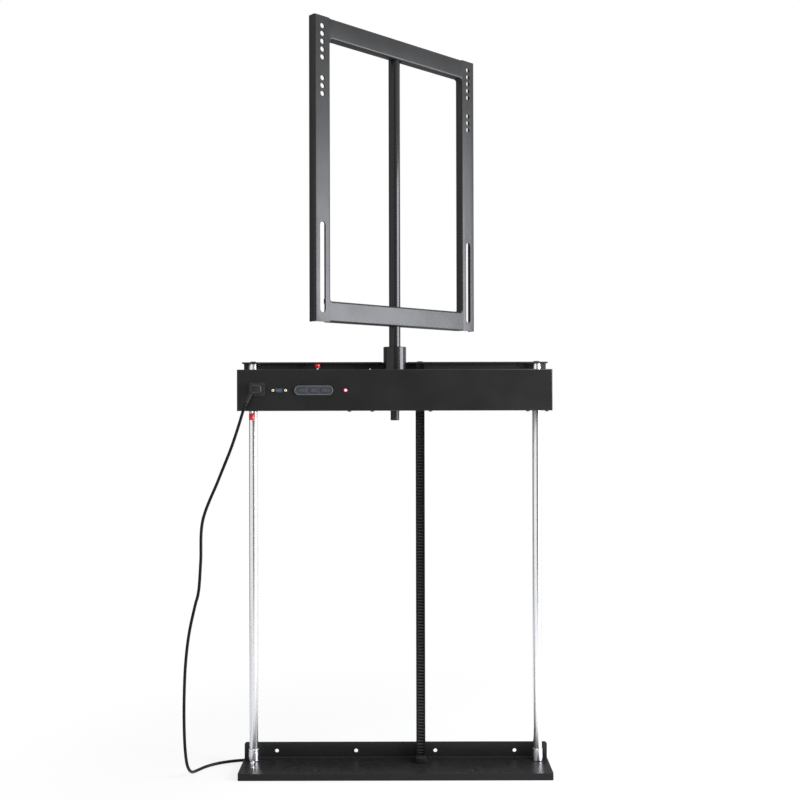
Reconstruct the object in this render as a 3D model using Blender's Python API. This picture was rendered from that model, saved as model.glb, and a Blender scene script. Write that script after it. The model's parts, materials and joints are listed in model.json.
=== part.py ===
"""Motorised television lift with a swivelling screen frame.

A carriage climbs two guide rods on a rack and pinion, and carries a geared column
that turns the screen frame. Metres, +Z up, the front faces -Y. The origin is on the
floor, under the swivel axis.
"""
import math

import bmesh
import bpy
from mathutils import Matrix, Vector

# Clearances
GAP = 0.0003                    # between faces that touch
RUNNING = 0.0004                # radial, round a shaft or a guide rod
MESH_CLEARANCE = 0.0002         # added to the centre distance of meshed teeth
TOUCH = 0.0005                  # between a limit plunger and what it meets at the end of travel

# Facets of round pieces
ROUND = 24
SMALL_ROUND = 14

# Base
WIDTH = 0.630                   # base, carriage and top beam
AXIS_SETBACK = 0.063            # swivel axis behind the front edges
BASE_THICKNESS = 0.014
BASE_CORNER = 0.003
FLOOR_HOLE_DIAMETER = 0.0055
FLOOR_HOLE_HEAD = 0.011         # countersink at the top
FLOOR_HOLE_SPACING = 0.316
FLOOR_HOLE_INSET = 0.020
UPSTAND_HEIGHT = 0.046
UPSTAND_THICKNESS = 0.003
UPSTAND_CORNER = 0.005
WALL_HOLE_DIAMETER = 0.008
WALL_HOLE_COUNT = 4
WALL_HOLE_PITCH = 0.165
WALL_HOLE_INSET = 0.018         # below the upstand's top edge

# Guide rods
ROD_DIAMETER = 0.018
ROD_INSET = 0.022               # rod axis from the end of the base
ROD_SETBACK = 0.016             # rod axis behind the swivel axis
ROD_FOOT_DIAMETER = 0.0204
ROD_FOOT_HEIGHT = 0.025
BOLT_DIAMETER = 0.006           # bolts through the top flange
BOLT_DEPTH = 0.010
BOLT_HEAD_ACROSS = 0.0125
BOLT_HEAD_HEIGHT = 0.0014

# Rack rail and lift pinion
RACK_MODULE = 0.002
RACK_WIDTH = 0.0126
RACK_BACK = 0.0071              # solid bar behind the roots
RAIL_WALL = 0.0026
RAIL_LIP = 0.0035               # channel walls in front of the tooth tips
RAIL_CLEARANCE = 0.002
PINION_TEETH = 14
PINION_FACE = 0.010
PINION_SHAFT_DIAMETER = 0.010
PINION_SETBACK = 0.0003         # pinion axis behind the swivel axis
PRESSURE_ANGLE = math.radians(20)
BACKLASH = 0.0003               # thinning of each tooth
RACK_FOOT_HEIGHT = 0.012
RACK_FOOT_DEPTH = 0.013
RACK_FOOT_OVERHANG = 0.0013     # wider than the channel, each side

# Top beam
STAND_HEIGHT = 0.8337           # floor to the underside of the top flange
BEAM_SHEET = 0.003
BEAM_DROP = 0.050               # height of the rear panel
BEAM_REACH = 0.031              # depth of the top flange
BEAM_BEND = 0.004
BEAM_CLEARANCE = 0.0022         # carriage to the rear panel
COLLAR_NOTCH = 0.003            # flange clear of the collar
RACK_HOLE_DIAMETER = 0.005
RACK_HOLE_DROP = 0.0155         # below the flange's top
BEAM_HOLE_DROP = 0.036

# Carriage
CARRIAGE_HEIGHT = 0.0825
CARRIAGE_DROP = 0.0147          # carriage top below the top flange
SHEET = 0.002
SHEET_BEND = 0.0025
LIP_HEIGHT = 0.014
NOTCH_CLEARANCE = 0.0025        # carriage floor round the rods and the rail
BLOCK_WIDTH = 0.036
BLOCK_FRONT = 0.026             # block in front of the rod axis
BLOCK_HEIGHT = 0.068
BLOCK_WALL = 0.0016
GUIDE_BUSH_WALL = 0.0015
BUSH_FLANGE = 0.0012
BUSH_FLANGE_THICKNESS = 0.002

# Swivel column
SHAFT_DIAMETER = 0.018
POLE_WALL = 0.0025
COLLAR_DIAMETER = 0.047
COLLAR_RISE = 0.048             # above the carriage
COLLAR_FLANGE = 0.0035
COLLAR_FLANGE_THICKNESS = 0.004
COLUMN_BUSH_WALL = 0.0023
COLUMN_BUSH_LENGTH = 0.024
STUB_DROP = 0.0200              # shaft end below the carriage
SHAFT_BUSH_WALL = 0.002
SHAFT_BUSH_FLANGE = 0.0035
SHAFT_BUSH_THICKNESS = 0.0042
CLIP_GROOVE = 0.0009
CLIP_THICKNESS = 0.001
CLIP_RIM = 0.0012
SWIVEL_MODULE = 0.00125
COLUMN_TEETH = 36
SWIVEL_TEETH = 20
GEAR_FACE = 0.010
GEAR_CLEARANCE = 0.0015
DECK_SHEET = 0.003
DECK_FOOT = 0.0125
DECK_MARGIN = 0.019             # deck beyond the swivel motor
SWIVEL_SHAFT_DIAMETER = 0.006
SWIVEL_MOTOR_DIAMETER = 0.035
SWIVEL_GEARBOX_HEIGHT = 0.022
SWIVEL_CAN_HEIGHT = 0.028
SHAFT_IN_POLE = 0.140

# Lift motor
GEARBOX_DIAMETER = 0.042
GEARBOX_LENGTH = 0.040
MOTOR_DIAMETER = 0.038
MOTOR_LENGTH = 0.060
BRACKET_SHEET = 0.003
BRACKET_FOOT = 0.018
BRACKET_MARGIN = 0.004          # plate beyond the gearbox
PINION_HEIGHT = 0.0415          # pinion axis above the carriage's underside

# Control panel on the carriage front, placed from its left end
PANEL_HEIGHT = 0.0412           # row of fittings above the carriage's underside
INLET_INSET = 0.0398
INLET_HEIGHT = 0.0435
INLET_BODY = (0.0270, 0.0190)
INLET_FLANGE = (0.0315, 0.0265)
INLET_DEPTH = 0.018
FITTING_PLATE = 0.0014          # flanges that lie on the panel
DSUB_INSET = 0.0854
DSUB_SHELL = (0.0169, 0.0083)
DSUB_FLANGE = (0.0310, 0.0125)
DSUB_SHELL_DEPTH = 0.0042        # beyond the panel
DSUB_WALL = 0.0006
JACKSCREW_SPACING = 0.025
JACKSCREW_ACROSS = 0.0048
JACKSCREW_LENGTH = 0.0050
KEYPAD_INSET = 0.1535
KEYPAD_SIZE = (0.077, 0.0190)
KEYPAD_THICKNESS = 0.0026
KEYPAD_RIM = 0.0018
KEYPAD_RECESS = 0.0008
KEY_SIZE = (0.0170, 0.0096)
KEY_PITCH = 0.0225
KEY_NAMES = ("down", "stop", "up")
KEY_CORNER = 0.003
KEY_CLEARANCE = 0.0004
KEY_TRAVEL = 0.0006
LED_INSET = 0.217
LED_DIAMETER = 0.005
LED_RIM_DIAMETER = 0.007
BOARD_SETBACK = 0.009           # board behind the panel's inner face
BOARD_THICKNESS = 0.0016
BOARD_HEIGHT = 0.060
BOARD_MARGIN = 0.017
SUPPLY_SIZE = (0.070, 0.032, 0.045)
SUPPLY_INSET = 0.128            # its inner end from the right end of the carriage
SUPPLY_SETBACK = 0.004

# Limit switches
PLUNGER_CAP_DIAMETER = 0.012
PLUNGER_STEM_DIAMETER = 0.005
PLUNGER_TRAVEL = 0.004
UPPER_CAP_HEIGHT = 0.0085
LOWER_CAP_HEIGHT = 0.013
LOWER_STEM_SHOWN = 0.0055
STEM_IN_SWITCH = 0.008
SWITCH_SIZE = (0.020, 0.016)
LOWER_SWITCH_HEIGHT = 0.024
UPPER_SWITCH_INSET = 0.155
UPPER_SWITCH_SETBACK = 0.012
LOWER_SWITCH_INSET = 0.0255
LOWER_SWITCH_SETBACK = -0.030
STRIKER_HEIGHT = 0.0135
STRIKER_HEAD_DIAMETER = 0.009
STRIKER_HEAD_HEIGHT = 0.0045
STRIKER_STEM_DIAMETER = 0.005

# Screen frame
SCREEN_TURN = math.radians(42.3)
FRAME_WIDTH = 0.439
FRAME_HEIGHT = 0.586
FRAME_RISE = 0.041              # above the collar
FRAME_SHEET = 0.003
FRAME_BEND = 0.004
STILE_WIDTH = 0.039
RAIL_HEIGHT = 0.0405
CHANNEL_DEPTH = 0.0175
POLE_STANDOFF = 0.0021          # saddle wall between the pole and the rail
SADDLE_WIDTH = 0.050
SADDLE_WALL = 0.003
FRAME_HOLE_DIAMETER = 0.010
FRAME_HOLE_TOP = 0.019
FRAME_HOLE_PITCH = 0.015
FRAME_HOLE_GROUPS = (5, 3)
FRAME_HOLE_BREAK = 0.040        # step between the two groups
SLOT_WIDTH = 0.013
SLOT_LENGTH = 0.174
SLOT_RISE = 0.0177              # slot end above the frame's lower edge

# Mains lead
CORD_DIAMETER = 0.006
CONNECTOR_SIZE = (0.024, 0.018, 0.020)
RELIEF_DIRECTION = Vector((-0.400, 0.0, -0.9165))
RELIEF_OFFSET = 0.0070          # left of the connector's middle
RELIEF_LENGTH = 0.030           # from the connector's level
RELIEF_ROOT_DIAMETER = 0.0100
RELIEF_END_DIAMETER = 0.0078
COIL_CENTRE = Vector((-0.190, 0.0866))
COIL_MEAN_RADIUS = 0.031
COIL_GAP = 0.0018
COIL_LIFT = 0.0015              # room for the tie under the lowest layer
COIL_LEAD = 0.010
TIE_THICKNESS = 0.0010
TIE_WIDTH = 0.006
PLUG_ENTRY = (0.012, 0.011)
PLUG_FACE = (0.027, 0.023)
PLUG_LENGTH = 0.034
PLUG_LEAD = 0.034               # coil's middle to the plug
PLUG_BLADE = (0.016, 0.0015, 0.0063)
PLUG_BLADE_SPACING = 0.0127
PLUG_PIN_DIAMETER = 0.0048
CORD_ROUTE = (
    (-0.3007, -0.0745, 0.7361),
    (-0.3124, -0.0745, 0.6985),
    (-0.3261, -0.0745, 0.6588),
    (-0.3500, -0.0745, 0.5994),
    (-0.3808, -0.0745, 0.5201),
    (-0.3849, -0.0745, 0.4408),
    (-0.3891, -0.0745, 0.3813),
    (-0.3968, -0.0745, 0.3496),
    (-0.4085, -0.0745, 0.2950),
    (-0.4155, -0.0740, 0.2350),
    (-0.4185, -0.0730, 0.1700),
    (-0.4190, -0.0710, 0.1100),
    (-0.4180, -0.0660, 0.0620),
    (-0.4160, -0.0540, 0.0270),
    (-0.4120, -0.0340, 0.0085),
    (-0.4050, -0.0120, 0.0036),
    (-0.3910, 0.0110, 0.0033),
    (-0.3680, 0.0310, 0.0033),
    (-0.3360, 0.0440, 0.0036),
    (-0.2980, 0.0478, 0.0042),
)
CORD_STEP = 0.015               # between the points of the cord's tube

# Places worked out from the sizes above
half_width = WIDTH / 2
front_y = -AXIS_SETBACK
rod_radius = ROD_DIAMETER / 2
rod_x = half_width - ROD_INSET
beam_top = STAND_HEIGHT + BEAM_SHEET
carriage_top = STAND_HEIGHT - CARRIAGE_DROP
carriage_z = carriage_top - CARRIAGE_HEIGHT
floor_top = carriage_z + SHEET
panel_back = front_y + SHEET
left_end = -half_width

column_pitch = SWIVEL_MODULE * COLUMN_TEETH / 2
swivel_pitch = SWIVEL_MODULE * SWIVEL_TEETH / 2
swivel_distance = column_pitch + swivel_pitch + MESH_CLEARANCE
column_tip = column_pitch + SWIVEL_MODULE
shaft_radius = SHAFT_DIAMETER / 2
pole_bore = shaft_radius + GAP
pole_radius = pole_bore + POLE_WALL
collar_radius = COLLAR_DIAMETER / 2
collar_top = carriage_top + COLLAR_RISE
flange_radius = collar_radius + COLLAR_FLANGE

guide_bush_bore = rod_radius + RUNNING
guide_bush_radius = guide_bush_bore + GUIDE_BUSH_WALL
block_back = ROD_SETBACK + guide_bush_radius + GAP + BLOCK_WALL
carriage_back = max(block_back + GAP, column_tip + GEAR_CLEARANCE, flange_radius + GAP) + SHEET
beam_front = carriage_back + BEAM_CLEARANCE
beam_back = beam_front + BEAM_SHEET
upstand_front = beam_back - UPSTAND_THICKNESS
base_back = upstand_front - GAP

gear_z = floor_top + GAP + SHAFT_BUSH_THICKNESS + GAP
gear_top = gear_z + GEAR_FACE
deck_z = gear_top + GEAR_CLEARANCE
deck_top = deck_z + DECK_SHEET
swivel_motor_radius = SWIVEL_MOTOR_DIAMETER / 2
swivel_motor_x = -(flange_radius + 2 * GAP + swivel_motor_radius)
deck_left = swivel_motor_x - swivel_motor_radius - DECK_MARGIN
deck_right = column_tip + GEAR_CLEARANCE + DECK_SHEET

rail_width = RACK_WIDTH + 2 * GAP + 2 * RAIL_WALL
rail_x = deck_right + DECK_FOOT + RAIL_CLEARANCE + rail_width / 2
pinion_pitch = RACK_MODULE * PINION_TEETH / 2
pinion_y = PINION_SETBACK
pinion_z = carriage_z + PINION_HEIGHT
rack_pitch_y = pinion_y + pinion_pitch + MESH_CLEARANCE
rack_tip_y = rack_pitch_y - RACK_MODULE
rack_root_y = rack_pitch_y + 1.25 * RACK_MODULE
rack_back_y = rack_root_y + RACK_BACK
rail_front = rack_tip_y - RAIL_LIP
rail_back = rack_back_y + GAP + RAIL_WALL
bracket_x = rail_x + rail_width / 2 + RAIL_CLEARANCE
motor_x = bracket_x + BRACKET_SHEET + GAP

inlet_x = left_end + INLET_INSET
inlet_z = carriage_z + INLET_HEIGHT
panel_z = carriage_z + PANEL_HEIGHT
dsub_x = left_end + DSUB_INSET
keypad_x = left_end + KEYPAD_INSET
led_x = left_end + LED_INSET
board_y = panel_back + BOARD_SETBACK
plate_front = front_y - GAP - FITTING_PLATE

upper_switch = Vector((left_end + UPPER_SWITCH_INSET, UPPER_SWITCH_SETBACK))
lower_switch = Vector((left_end + LOWER_SWITCH_INSET, LOWER_SWITCH_SETBACK))
upper_cap_top = STAND_HEIGHT - TOUCH
upper_cap_z = upper_cap_top - UPPER_CAP_HEIGHT
upper_switch_top = upper_cap_z - PLUNGER_TRAVEL - TOUCH
lower_cap_top = carriage_z - LOWER_STEM_SHOWN
lower_cap_z = lower_cap_top - LOWER_CAP_HEIGHT
striker_top = BASE_THICKNESS + GAP + STRIKER_HEIGHT
lift_travel = lower_cap_z - striker_top - TOUCH

frame_z = collar_top + FRAME_RISE
frame_top = frame_z + FRAME_HEIGHT
web_back = -(pole_radius + GAP + POLE_STANDOFF + GAP)
frame_front = web_back - FRAME_SHEET
stile_centre = (FRAME_WIDTH - STILE_WIDTH) / 2
rail_half_length = FRAME_WIDTH / 2 - STILE_WIDTH - GAP

connector_y = plate_front - GAP - CONNECTOR_SIZE[2] / 2
relief_root = Vector((inlet_x - RELIEF_OFFSET, connector_y, inlet_z))
relief_end = relief_root + RELIEF_DIRECTION * RELIEF_LENGTH
coil_pitch = CORD_DIAMETER + COIL_GAP
coil_inner = COIL_MEAN_RADIUS - coil_pitch
coil_outer = COIL_MEAN_RADIUS + coil_pitch
coil_z = CORD_DIAMETER / 2 + COIL_LIFT


# Start from an empty scene
for old in list(bpy.data.objects):
    bpy.data.objects.remove(old, do_unlink=True)


# Finishes
def finish(name, colour, roughness, metallic=0.0):
    material = bpy.data.materials.new(name)
    material.use_nodes = True
    shader = material.node_tree.nodes["Principled BSDF"]
    shader.inputs["Base Color"].default_value = (*colour, 1.0)
    shader.inputs["Roughness"].default_value = roughness
    shader.inputs["Metallic"].default_value = metallic
    return material


BLACK_PAINT = ((0.020, 0.020, 0.021), 0.42, 0.0)
CHROME = ((0.78, 0.79, 0.80), 0.12, 1.0)
STEEL = ((0.52, 0.53, 0.54), 0.35, 1.0)
DARK_STEEL = ((0.06, 0.06, 0.062), 0.45, 0.6)
BRASS = ((0.70, 0.50, 0.20), 0.30, 1.0)
BRONZE = ((0.55, 0.36, 0.18), 0.40, 1.0)
NYLON = ((0.80, 0.79, 0.74), 0.50, 0.0)
BLACK_PLASTIC = ((0.018, 0.018, 0.018), 0.55, 0.0)
BLACK_RUBBER = ((0.014, 0.014, 0.014), 0.65, 0.0)
GREY_PLASTIC = ((0.095, 0.105, 0.110), 0.50, 0.0)
DARK_GREY_PLASTIC = ((0.055, 0.062, 0.066), 0.55, 0.0)
RED_PLASTIC = ((0.62, 0.02, 0.03), 0.35, 0.0)
BLUE_PLASTIC = ((0.06, 0.12, 0.42), 0.45, 0.0)
BOARD_GREEN = ((0.02, 0.16, 0.06), 0.45, 0.0)
LIT_RED = ((0.95, 0.25, 0.30), 0.20, 0.0)


# Building blocks
def to_object(name, bm, look, parent=None, pivot=None):
    """Turn a bmesh in world coordinates into a named object, with its origin at pivot."""
    bmesh.ops.recalc_face_normals(bm, faces=bm.faces)
    mesh = bpy.data.meshes.new(name)
    bm.to_mesh(mesh)
    bm.free()
    mesh.materials.append(finish(name, *look))
    mesh.shade_smooth()
    mesh.set_sharp_from_angle(angle=math.radians(35))
    piece = bpy.data.objects.new(name, mesh)
    bpy.context.collection.objects.link(piece)
    if pivot is not None:
        mesh.transform(Matrix.Translation(-Vector(pivot)))
        piece.location = pivot
    if parent is not None:
        piece.parent = parent
    return piece


def combine(piece, bm, operation):
    """Cut a hidden tool out of a piece, or add it, with a Boolean."""
    tool_name = f"{piece.name}_tool_{len(piece.modifiers)}"
    tool = to_object(tool_name, bm, DARK_STEEL, piece.parent)
    tool.hide_render = True
    tool.display_type = "WIRE"
    boolean = piece.modifiers.new(tool_name, "BOOLEAN")
    boolean.object = tool
    boolean.operation = operation
    boolean.solver = "EXACT"


def cut(piece, bm):
    combine(piece, bm, "DIFFERENCE")


def add(piece, bm):
    combine(piece, bm, "UNION")


def block(bm, low, high):
    """A box between two corners."""
    low, high = Vector(low), Vector(high)
    place = Matrix.Translation((low + high) / 2) @ Matrix.Diagonal((*(high - low), 1.0))
    return bmesh.ops.create_cube(bm, size=1.0, matrix=place)["verts"]


def round_edges(bm, edges, radius, segments=2):
    bmesh.ops.bevel(bm, geom=edges, offset=radius, segments=segments, profile=0.5, affect="EDGES")


def along(bm, axis):
    """Edges that run along one axis."""
    return [e for e in bm.edges if abs((e.verts[0].co - e.verts[1].co).normalized()[axis]) > 0.999]


def loft(bm, loops):
    """Skin a row of closed loops and cap both ends."""
    rings = [[bm.verts.new(point) for point in loop] for loop in loops]
    for first, second in zip(rings, rings[1:]):
        for i, vert in enumerate(first):
            j = (i + 1) % len(first)
            bm.faces.new((vert, first[j], second[j], second[i]))
    bm.faces.new(rings[0])
    bm.faces.new(reversed(rings[-1]))


def prism(bm, outline, axis, low, high):
    """Extrude an outline along X (outline in Y, Z), Y (in X, Z) or Z (in X, Y)."""
    place = {
        "X": lambda u, v, w: (w, u, v),
        "Y": lambda u, v, w: (u, w, v),
        "Z": lambda u, v, w: (u, v, w),
    }[axis]
    loft(bm, [[place(u, v, w) for u, v in outline] for w in (low, high)])


def turned(bm, profile, centre, axis="Z", steps=ROUND):
    """Turn a profile of (radius, height) pairs about an axis through centre.

    A profile that leaves and meets the axis makes a solid; any other is closed into a ring.
    """
    turn = {"X": Matrix.Rotation(math.pi / 2, 4, "Y"), "Y": Matrix.Rotation(-math.pi / 2, 4, "X"),
            "Z": Matrix.Identity(4)}[axis]
    place = Matrix.Translation(Vector(centre)) @ turn
    rows = []
    for radius, height in profile:
        if radius == 0.0:
            rows.append([bm.verts.new(place @ Vector((0.0, 0.0, height)))] * steps)
            continue
        ring = []
        for i in range(steps):
            angle = 2 * math.pi * (i + 0.5) / steps
            spot = Vector((radius * math.cos(angle), radius * math.sin(angle), height))
            ring.append(bm.verts.new(place @ spot))
        rows.append(ring)
    if profile[0][0] > 0.0:
        rows.append(rows[0])
    for first, second in zip(rows, rows[1:]):
        for i in range(steps):
            j = (i + 1) % steps
            corners = dict.fromkeys((first[i], first[j], second[j], second[i]))
            if len(corners) > 2:
                bm.faces.new(corners)


def rod(bm, centre, radius, low, high, axis="Z", steps=ROUND):
    turned(bm, [(0.0, low), (radius, low), (radius, high), (0.0, high)], centre, axis, steps)


def tube(bm, centre, bore, radius, low, high, axis="Z", steps=ROUND):
    turned(bm, [(bore, low), (radius, low), (radius, high), (bore, high)], centre, axis, steps)


def arc(centre, radius, start, end, steps):
    """Points on an arc, angles in degrees."""
    points = []
    for i in range(steps + 1):
        angle = math.radians(start + (end - start) * i / steps)
        points.append((centre[0] + radius * math.cos(angle), centre[1] + radius * math.sin(angle)))
    return points


def rounded(width, height, radius, centre=(0.0, 0.0), steps=3):
    """A rectangle with round corners."""
    x, z = width / 2 - radius, height / 2 - radius
    points = []
    for sx, sz, start in ((1, 1, 0), (-1, 1, 90), (-1, -1, 180), (1, -1, 270)):
        corner = (centre[0] + sx * x, centre[1] + sz * z)
        points += arc(corner, radius, start, start + 90, steps)
    return points


def stadium(width, height, centre, steps=8):
    """A slot outline with half-round ends, long along its first direction."""
    radius = height / 2
    reach = width / 2 - radius
    right = arc((centre[0] + reach, centre[1]), radius, -90, 90, steps)
    left = arc((centre[0] - reach, centre[1]), radius, 90, 270, steps)
    return right + left


def polygon(across, sides, centre):
    """A regular outline of given width across flats."""
    radius = across / 2 / math.cos(math.pi / sides)
    return arc(centre, radius, 180 / sides, 360 + 180 / sides, sides)[:-1]


def channel(width, depth, sheet, bend):
    """Outline of a folded channel, open at the top, with its web along the bottom."""
    half = width / 2
    inner = max(bend - sheet, sheet / 4)
    points = [(half, depth)] + [(half, bend)]
    points += arc((half - bend, bend), bend, 0, -90, 2)[1:]
    points += arc((bend - half, bend), bend, -90, -180, 2)
    points += [(-half, depth), (sheet - half, depth)]
    points += arc((sheet - half + inner, sheet + inner), inner, 180, 270, 2)
    points += arc((half - sheet - inner, sheet + inner), inner, -90, 0, 2)
    points += [(half - sheet, depth)]
    return points


def gear_outline(teeth, module, phase):
    """Involute teeth, one of them centred on the angle phase (radians)."""
    pitch = module * teeth / 2
    base = pitch * math.cos(PRESSURE_ANGLE)
    tip = pitch + module
    root = pitch - 1.25 * module
    half_tooth = math.pi / (2 * teeth) - BACKLASH / (2 * pitch)
    involute = math.tan(PRESSURE_ANGLE) - PRESSURE_ANGLE
    flank = []
    start = max(base, root + 0.25 * module)
    for i in range(3):
        radius = start + (tip - start) * i / 2
        roll = math.acos(min(1.0, base / radius))
        flank.append((radius, half_tooth + involute - (math.tan(roll) - roll)))
    flank.insert(0, (root, flank[0][1]))
    points = []
    for k in range(teeth):
        middle = phase + 2 * math.pi * k / teeth
        for radius, half in flank:
            points.append((radius * math.cos(middle - half), radius * math.sin(middle - half)))
        for radius, half in reversed(flank):
            points.append((radius * math.cos(middle + half), radius * math.sin(middle + half)))
    return points


def shifted(outline, du, dv):
    return [(u + du, v + dv) for u, v in outline]


def empty(name, location, parent=None, turn=0.0):
    marker = bpy.data.objects.new(name, None)
    marker.location = location
    marker.rotation_euler = (0.0, 0.0, turn)
    bpy.context.collection.objects.link(marker)
    if parent is not None:
        marker.parent = parent
    return marker


# Base plate, with two countersunk floor holes
def make_base():
    bm = bmesh.new()
    block(bm, (-half_width, front_y, 0.0), (half_width, base_back, BASE_THICKNESS))
    round_edges(bm, along(bm, 2), BASE_CORNER)
    plate = to_object("base_plate", bm, BLACK_PAINT)
    holes = bmesh.new()
    sink = (FLOOR_HOLE_HEAD - FLOOR_HOLE_DIAMETER) / 2
    radius = FLOOR_HOLE_DIAMETER / 2
    profile = [(0.0, -GAP), (radius, -GAP), (radius, BASE_THICKNESS - sink),
               (radius + sink + GAP, BASE_THICKNESS + GAP), (0.0, BASE_THICKNESS + GAP)]
    for side in (-1, 1):
        spot = (side * FLOOR_HOLE_SPACING / 2, front_y + FLOOR_HOLE_INSET, 0.0)
        turned(holes, profile, spot, steps=SMALL_ROUND)
    cut(plate, holes)


# Upstand along the back of the base, with its row of wall holes
def wall_holes(bm, z, low, high):
    for i in range(WALL_HOLE_COUNT):
        x = (i - (WALL_HOLE_COUNT - 1) / 2) * WALL_HOLE_PITCH
        rod(bm, (x, 0.0, z), WALL_HOLE_DIAMETER / 2, low, high, "Y", SMALL_ROUND)


def make_upstand():
    reach = half_width - UPSTAND_CORNER
    rise = UPSTAND_HEIGHT - UPSTAND_CORNER
    outline = [(-half_width, 0.0), (half_width, 0.0)]
    outline += arc((reach, rise), UPSTAND_CORNER, 0, 90, 4)
    outline += arc((-reach, rise), UPSTAND_CORNER, 90, 180, 4)
    bm = bmesh.new()
    prism(bm, outline, "Y", upstand_front, upstand_front + UPSTAND_THICKNESS)
    upstand = to_object("base_upstand", bm, BLACK_PAINT)
    holes = bmesh.new()
    wall_holes(holes, UPSTAND_HEIGHT - WALL_HOLE_INSET, upstand_front - GAP,
               upstand_front + UPSTAND_THICKNESS + GAP)
    cut(upstand, holes)


# Guide rods on their feet, tapped at the top for the flange bolts
def make_rods():
    rod_z = BASE_THICKNESS + 2 * GAP + ROD_FOOT_HEIGHT
    rod_top = STAND_HEIGHT - GAP
    tapped = BOLT_DIAMETER / 2 + GAP
    chamfer = 0.0006
    for side, word in ((-1, "left"), (1, "right")):
        centre = (side * rod_x, ROD_SETBACK, 0.0)
        foot = bmesh.new()
        radius = ROD_FOOT_DIAMETER / 2
        low = BASE_THICKNESS + GAP
        high = low + ROD_FOOT_HEIGHT
        turned(foot, [(0.0, low), (radius, low), (radius, high - chamfer), (radius - chamfer, high),
                      (0.0, high)], centre)
        to_object(f"rod_foot_{word}", foot, CHROME)
        bar = bmesh.new()
        floor = rod_top - BOLT_DEPTH - GAP
        turned(bar, [(0.0, rod_z), (rod_radius - chamfer, rod_z), (rod_radius, rod_z + chamfer),
                     (rod_radius, rod_top), (tapped, rod_top), (tapped, floor), (0.0, floor)], centre)
        to_object(f"guide_rod_{word}", bar, CHROME)


# Rack rail: a folded channel round a toothed bar, on a foot at the base
def make_rack():
    low = BASE_THICKNESS + GAP
    high = STAND_HEIGHT - GAP
    outer = rail_width / 2
    inner = outer - RAIL_WALL
    back = rail_back - RAIL_WALL
    walls = [(-outer, rail_front), (-inner, rail_front), (-inner, back), (inner, back),
             (inner, rail_front), (outer, rail_front), (outer, rail_back), (-outer, rail_back)]
    bm = bmesh.new()
    prism(bm, shifted(walls, rail_x, 0.0), "Z", low, high)
    to_object("rack_channel", bm, BLACK_PAINT)

    pitch = math.pi * RACK_MODULE
    lean = math.tan(PRESSURE_ANGLE)
    at_pitch = pitch / 4 - BACKLASH / 2
    half_tip = at_pitch - RACK_MODULE * lean
    half_root = at_pitch + 1.25 * RACK_MODULE * lean
    first = math.ceil((low + half_root - pinion_z) / pitch)
    last = math.floor((high - half_root - pinion_z) / pitch)
    outline = [(rack_back_y, high), (rack_back_y, low), (rack_root_y, low)]
    for k in range(first, last + 1):
        z = pinion_z + k * pitch
        outline += [(rack_root_y, z - half_root), (rack_tip_y, z - half_tip),
                    (rack_tip_y, z + half_tip), (rack_root_y, z + half_root)]
    outline.append((rack_root_y, high))
    bm = bmesh.new()
    prism(bm, outline, "X", rail_x - RACK_WIDTH / 2, rail_x + RACK_WIDTH / 2)
    to_object("lift_rack", bm, DARK_STEEL)

    half = outer + RACK_FOOT_OVERHANG
    bm = bmesh.new()
    block(bm, (rail_x - half, rail_front - GAP - RACK_FOOT_DEPTH, low),
          (rail_x + half, rail_front - GAP, low + RACK_FOOT_HEIGHT))
    round_edges(bm, along(bm, 2) + along(bm, 0), 0.001, 1)
    to_object("rack_foot", bm, BLACK_PAINT)
    print(f"rack: {last - first + 1} teeth, pitch {pitch * 1000:.3f} mm")


# Top beam: an angle with a notch for the collar, bolted on the rods and the rail
def bolt_spots():
    rail_middle = (rack_root_y + rack_back_y) / 2
    return [(-rod_x, ROD_SETBACK), (rod_x, ROD_SETBACK), (rail_x, rail_middle)]


def make_top_beam():
    low = beam_top - BEAM_DROP
    front = beam_back - BEAM_REACH
    inner = max(BEAM_BEND - BEAM_SHEET, BEAM_SHEET / 4)
    outline = [(front, beam_top), (front, STAND_HEIGHT)]
    outline += arc((beam_front - inner, STAND_HEIGHT - inner), inner, 90, 0, 2)
    outline += [(beam_front, low), (beam_back, low)]
    outline += arc((beam_back - BEAM_BEND, beam_top - BEAM_BEND), BEAM_BEND, 0, 90, 3)
    bm = bmesh.new()
    prism(bm, outline, "X", -half_width, half_width)
    beam = to_object("top_beam", bm, BLACK_PAINT)
    openings = bmesh.new()
    notch = collar_radius + COLLAR_NOTCH
    block(openings, (-notch, front - notch, STAND_HEIGHT - GAP), (notch, notch, beam_top + GAP))
    for side in (-1, 1):
        rod(openings, (side * rail_x, 0.0, beam_top - RACK_HOLE_DROP), RACK_HOLE_DIAMETER / 2,
            beam_front - GAP, beam_back + GAP, "Y", SMALL_ROUND)
    wall_holes(openings, beam_top - BEAM_HOLE_DROP, beam_front - GAP, beam_back + GAP)
    for x, y in bolt_spots():
        rod(openings, (x, y, 0.0), BOLT_DIAMETER / 2 + GAP, STAND_HEIGHT - GAP, beam_top + GAP,
            steps=SMALL_ROUND)
    cut(beam, openings)


def make_top_bolts():
    low = beam_top + GAP
    chamfer = 0.0008
    names = ("top_bolt_left", "top_bolt_right", "rack_bolt")
    for name, (x, y) in zip(names, bolt_spots()):
        hexagon = polygon(BOLT_HEAD_ACROSS, 6, (x, y))
        top = [((u - x) * 0.85 + x, (v - y) * 0.85 + y) for u, v in hexagon]
        high = low + BOLT_HEAD_HEIGHT
        shank = polygon(BOLT_DIAMETER * math.cos(math.pi / 6), 6, (x, y))
        shank_end = STAND_HEIGHT + GAP if name == "rack_bolt" else STAND_HEIGHT - BOLT_DEPTH
        bm = bmesh.new()
        loft(bm, [[(u, v, shank_end) for u, v in shank], [(u, v, low) for u, v in shank],
                  [(u, v, low) for u, v in hexagon], [(u, v, high - chamfer) for u, v in hexagon],
                  [(u, v, high) for u, v in top]])
        to_object(name, bm, DARK_STEEL)


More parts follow.
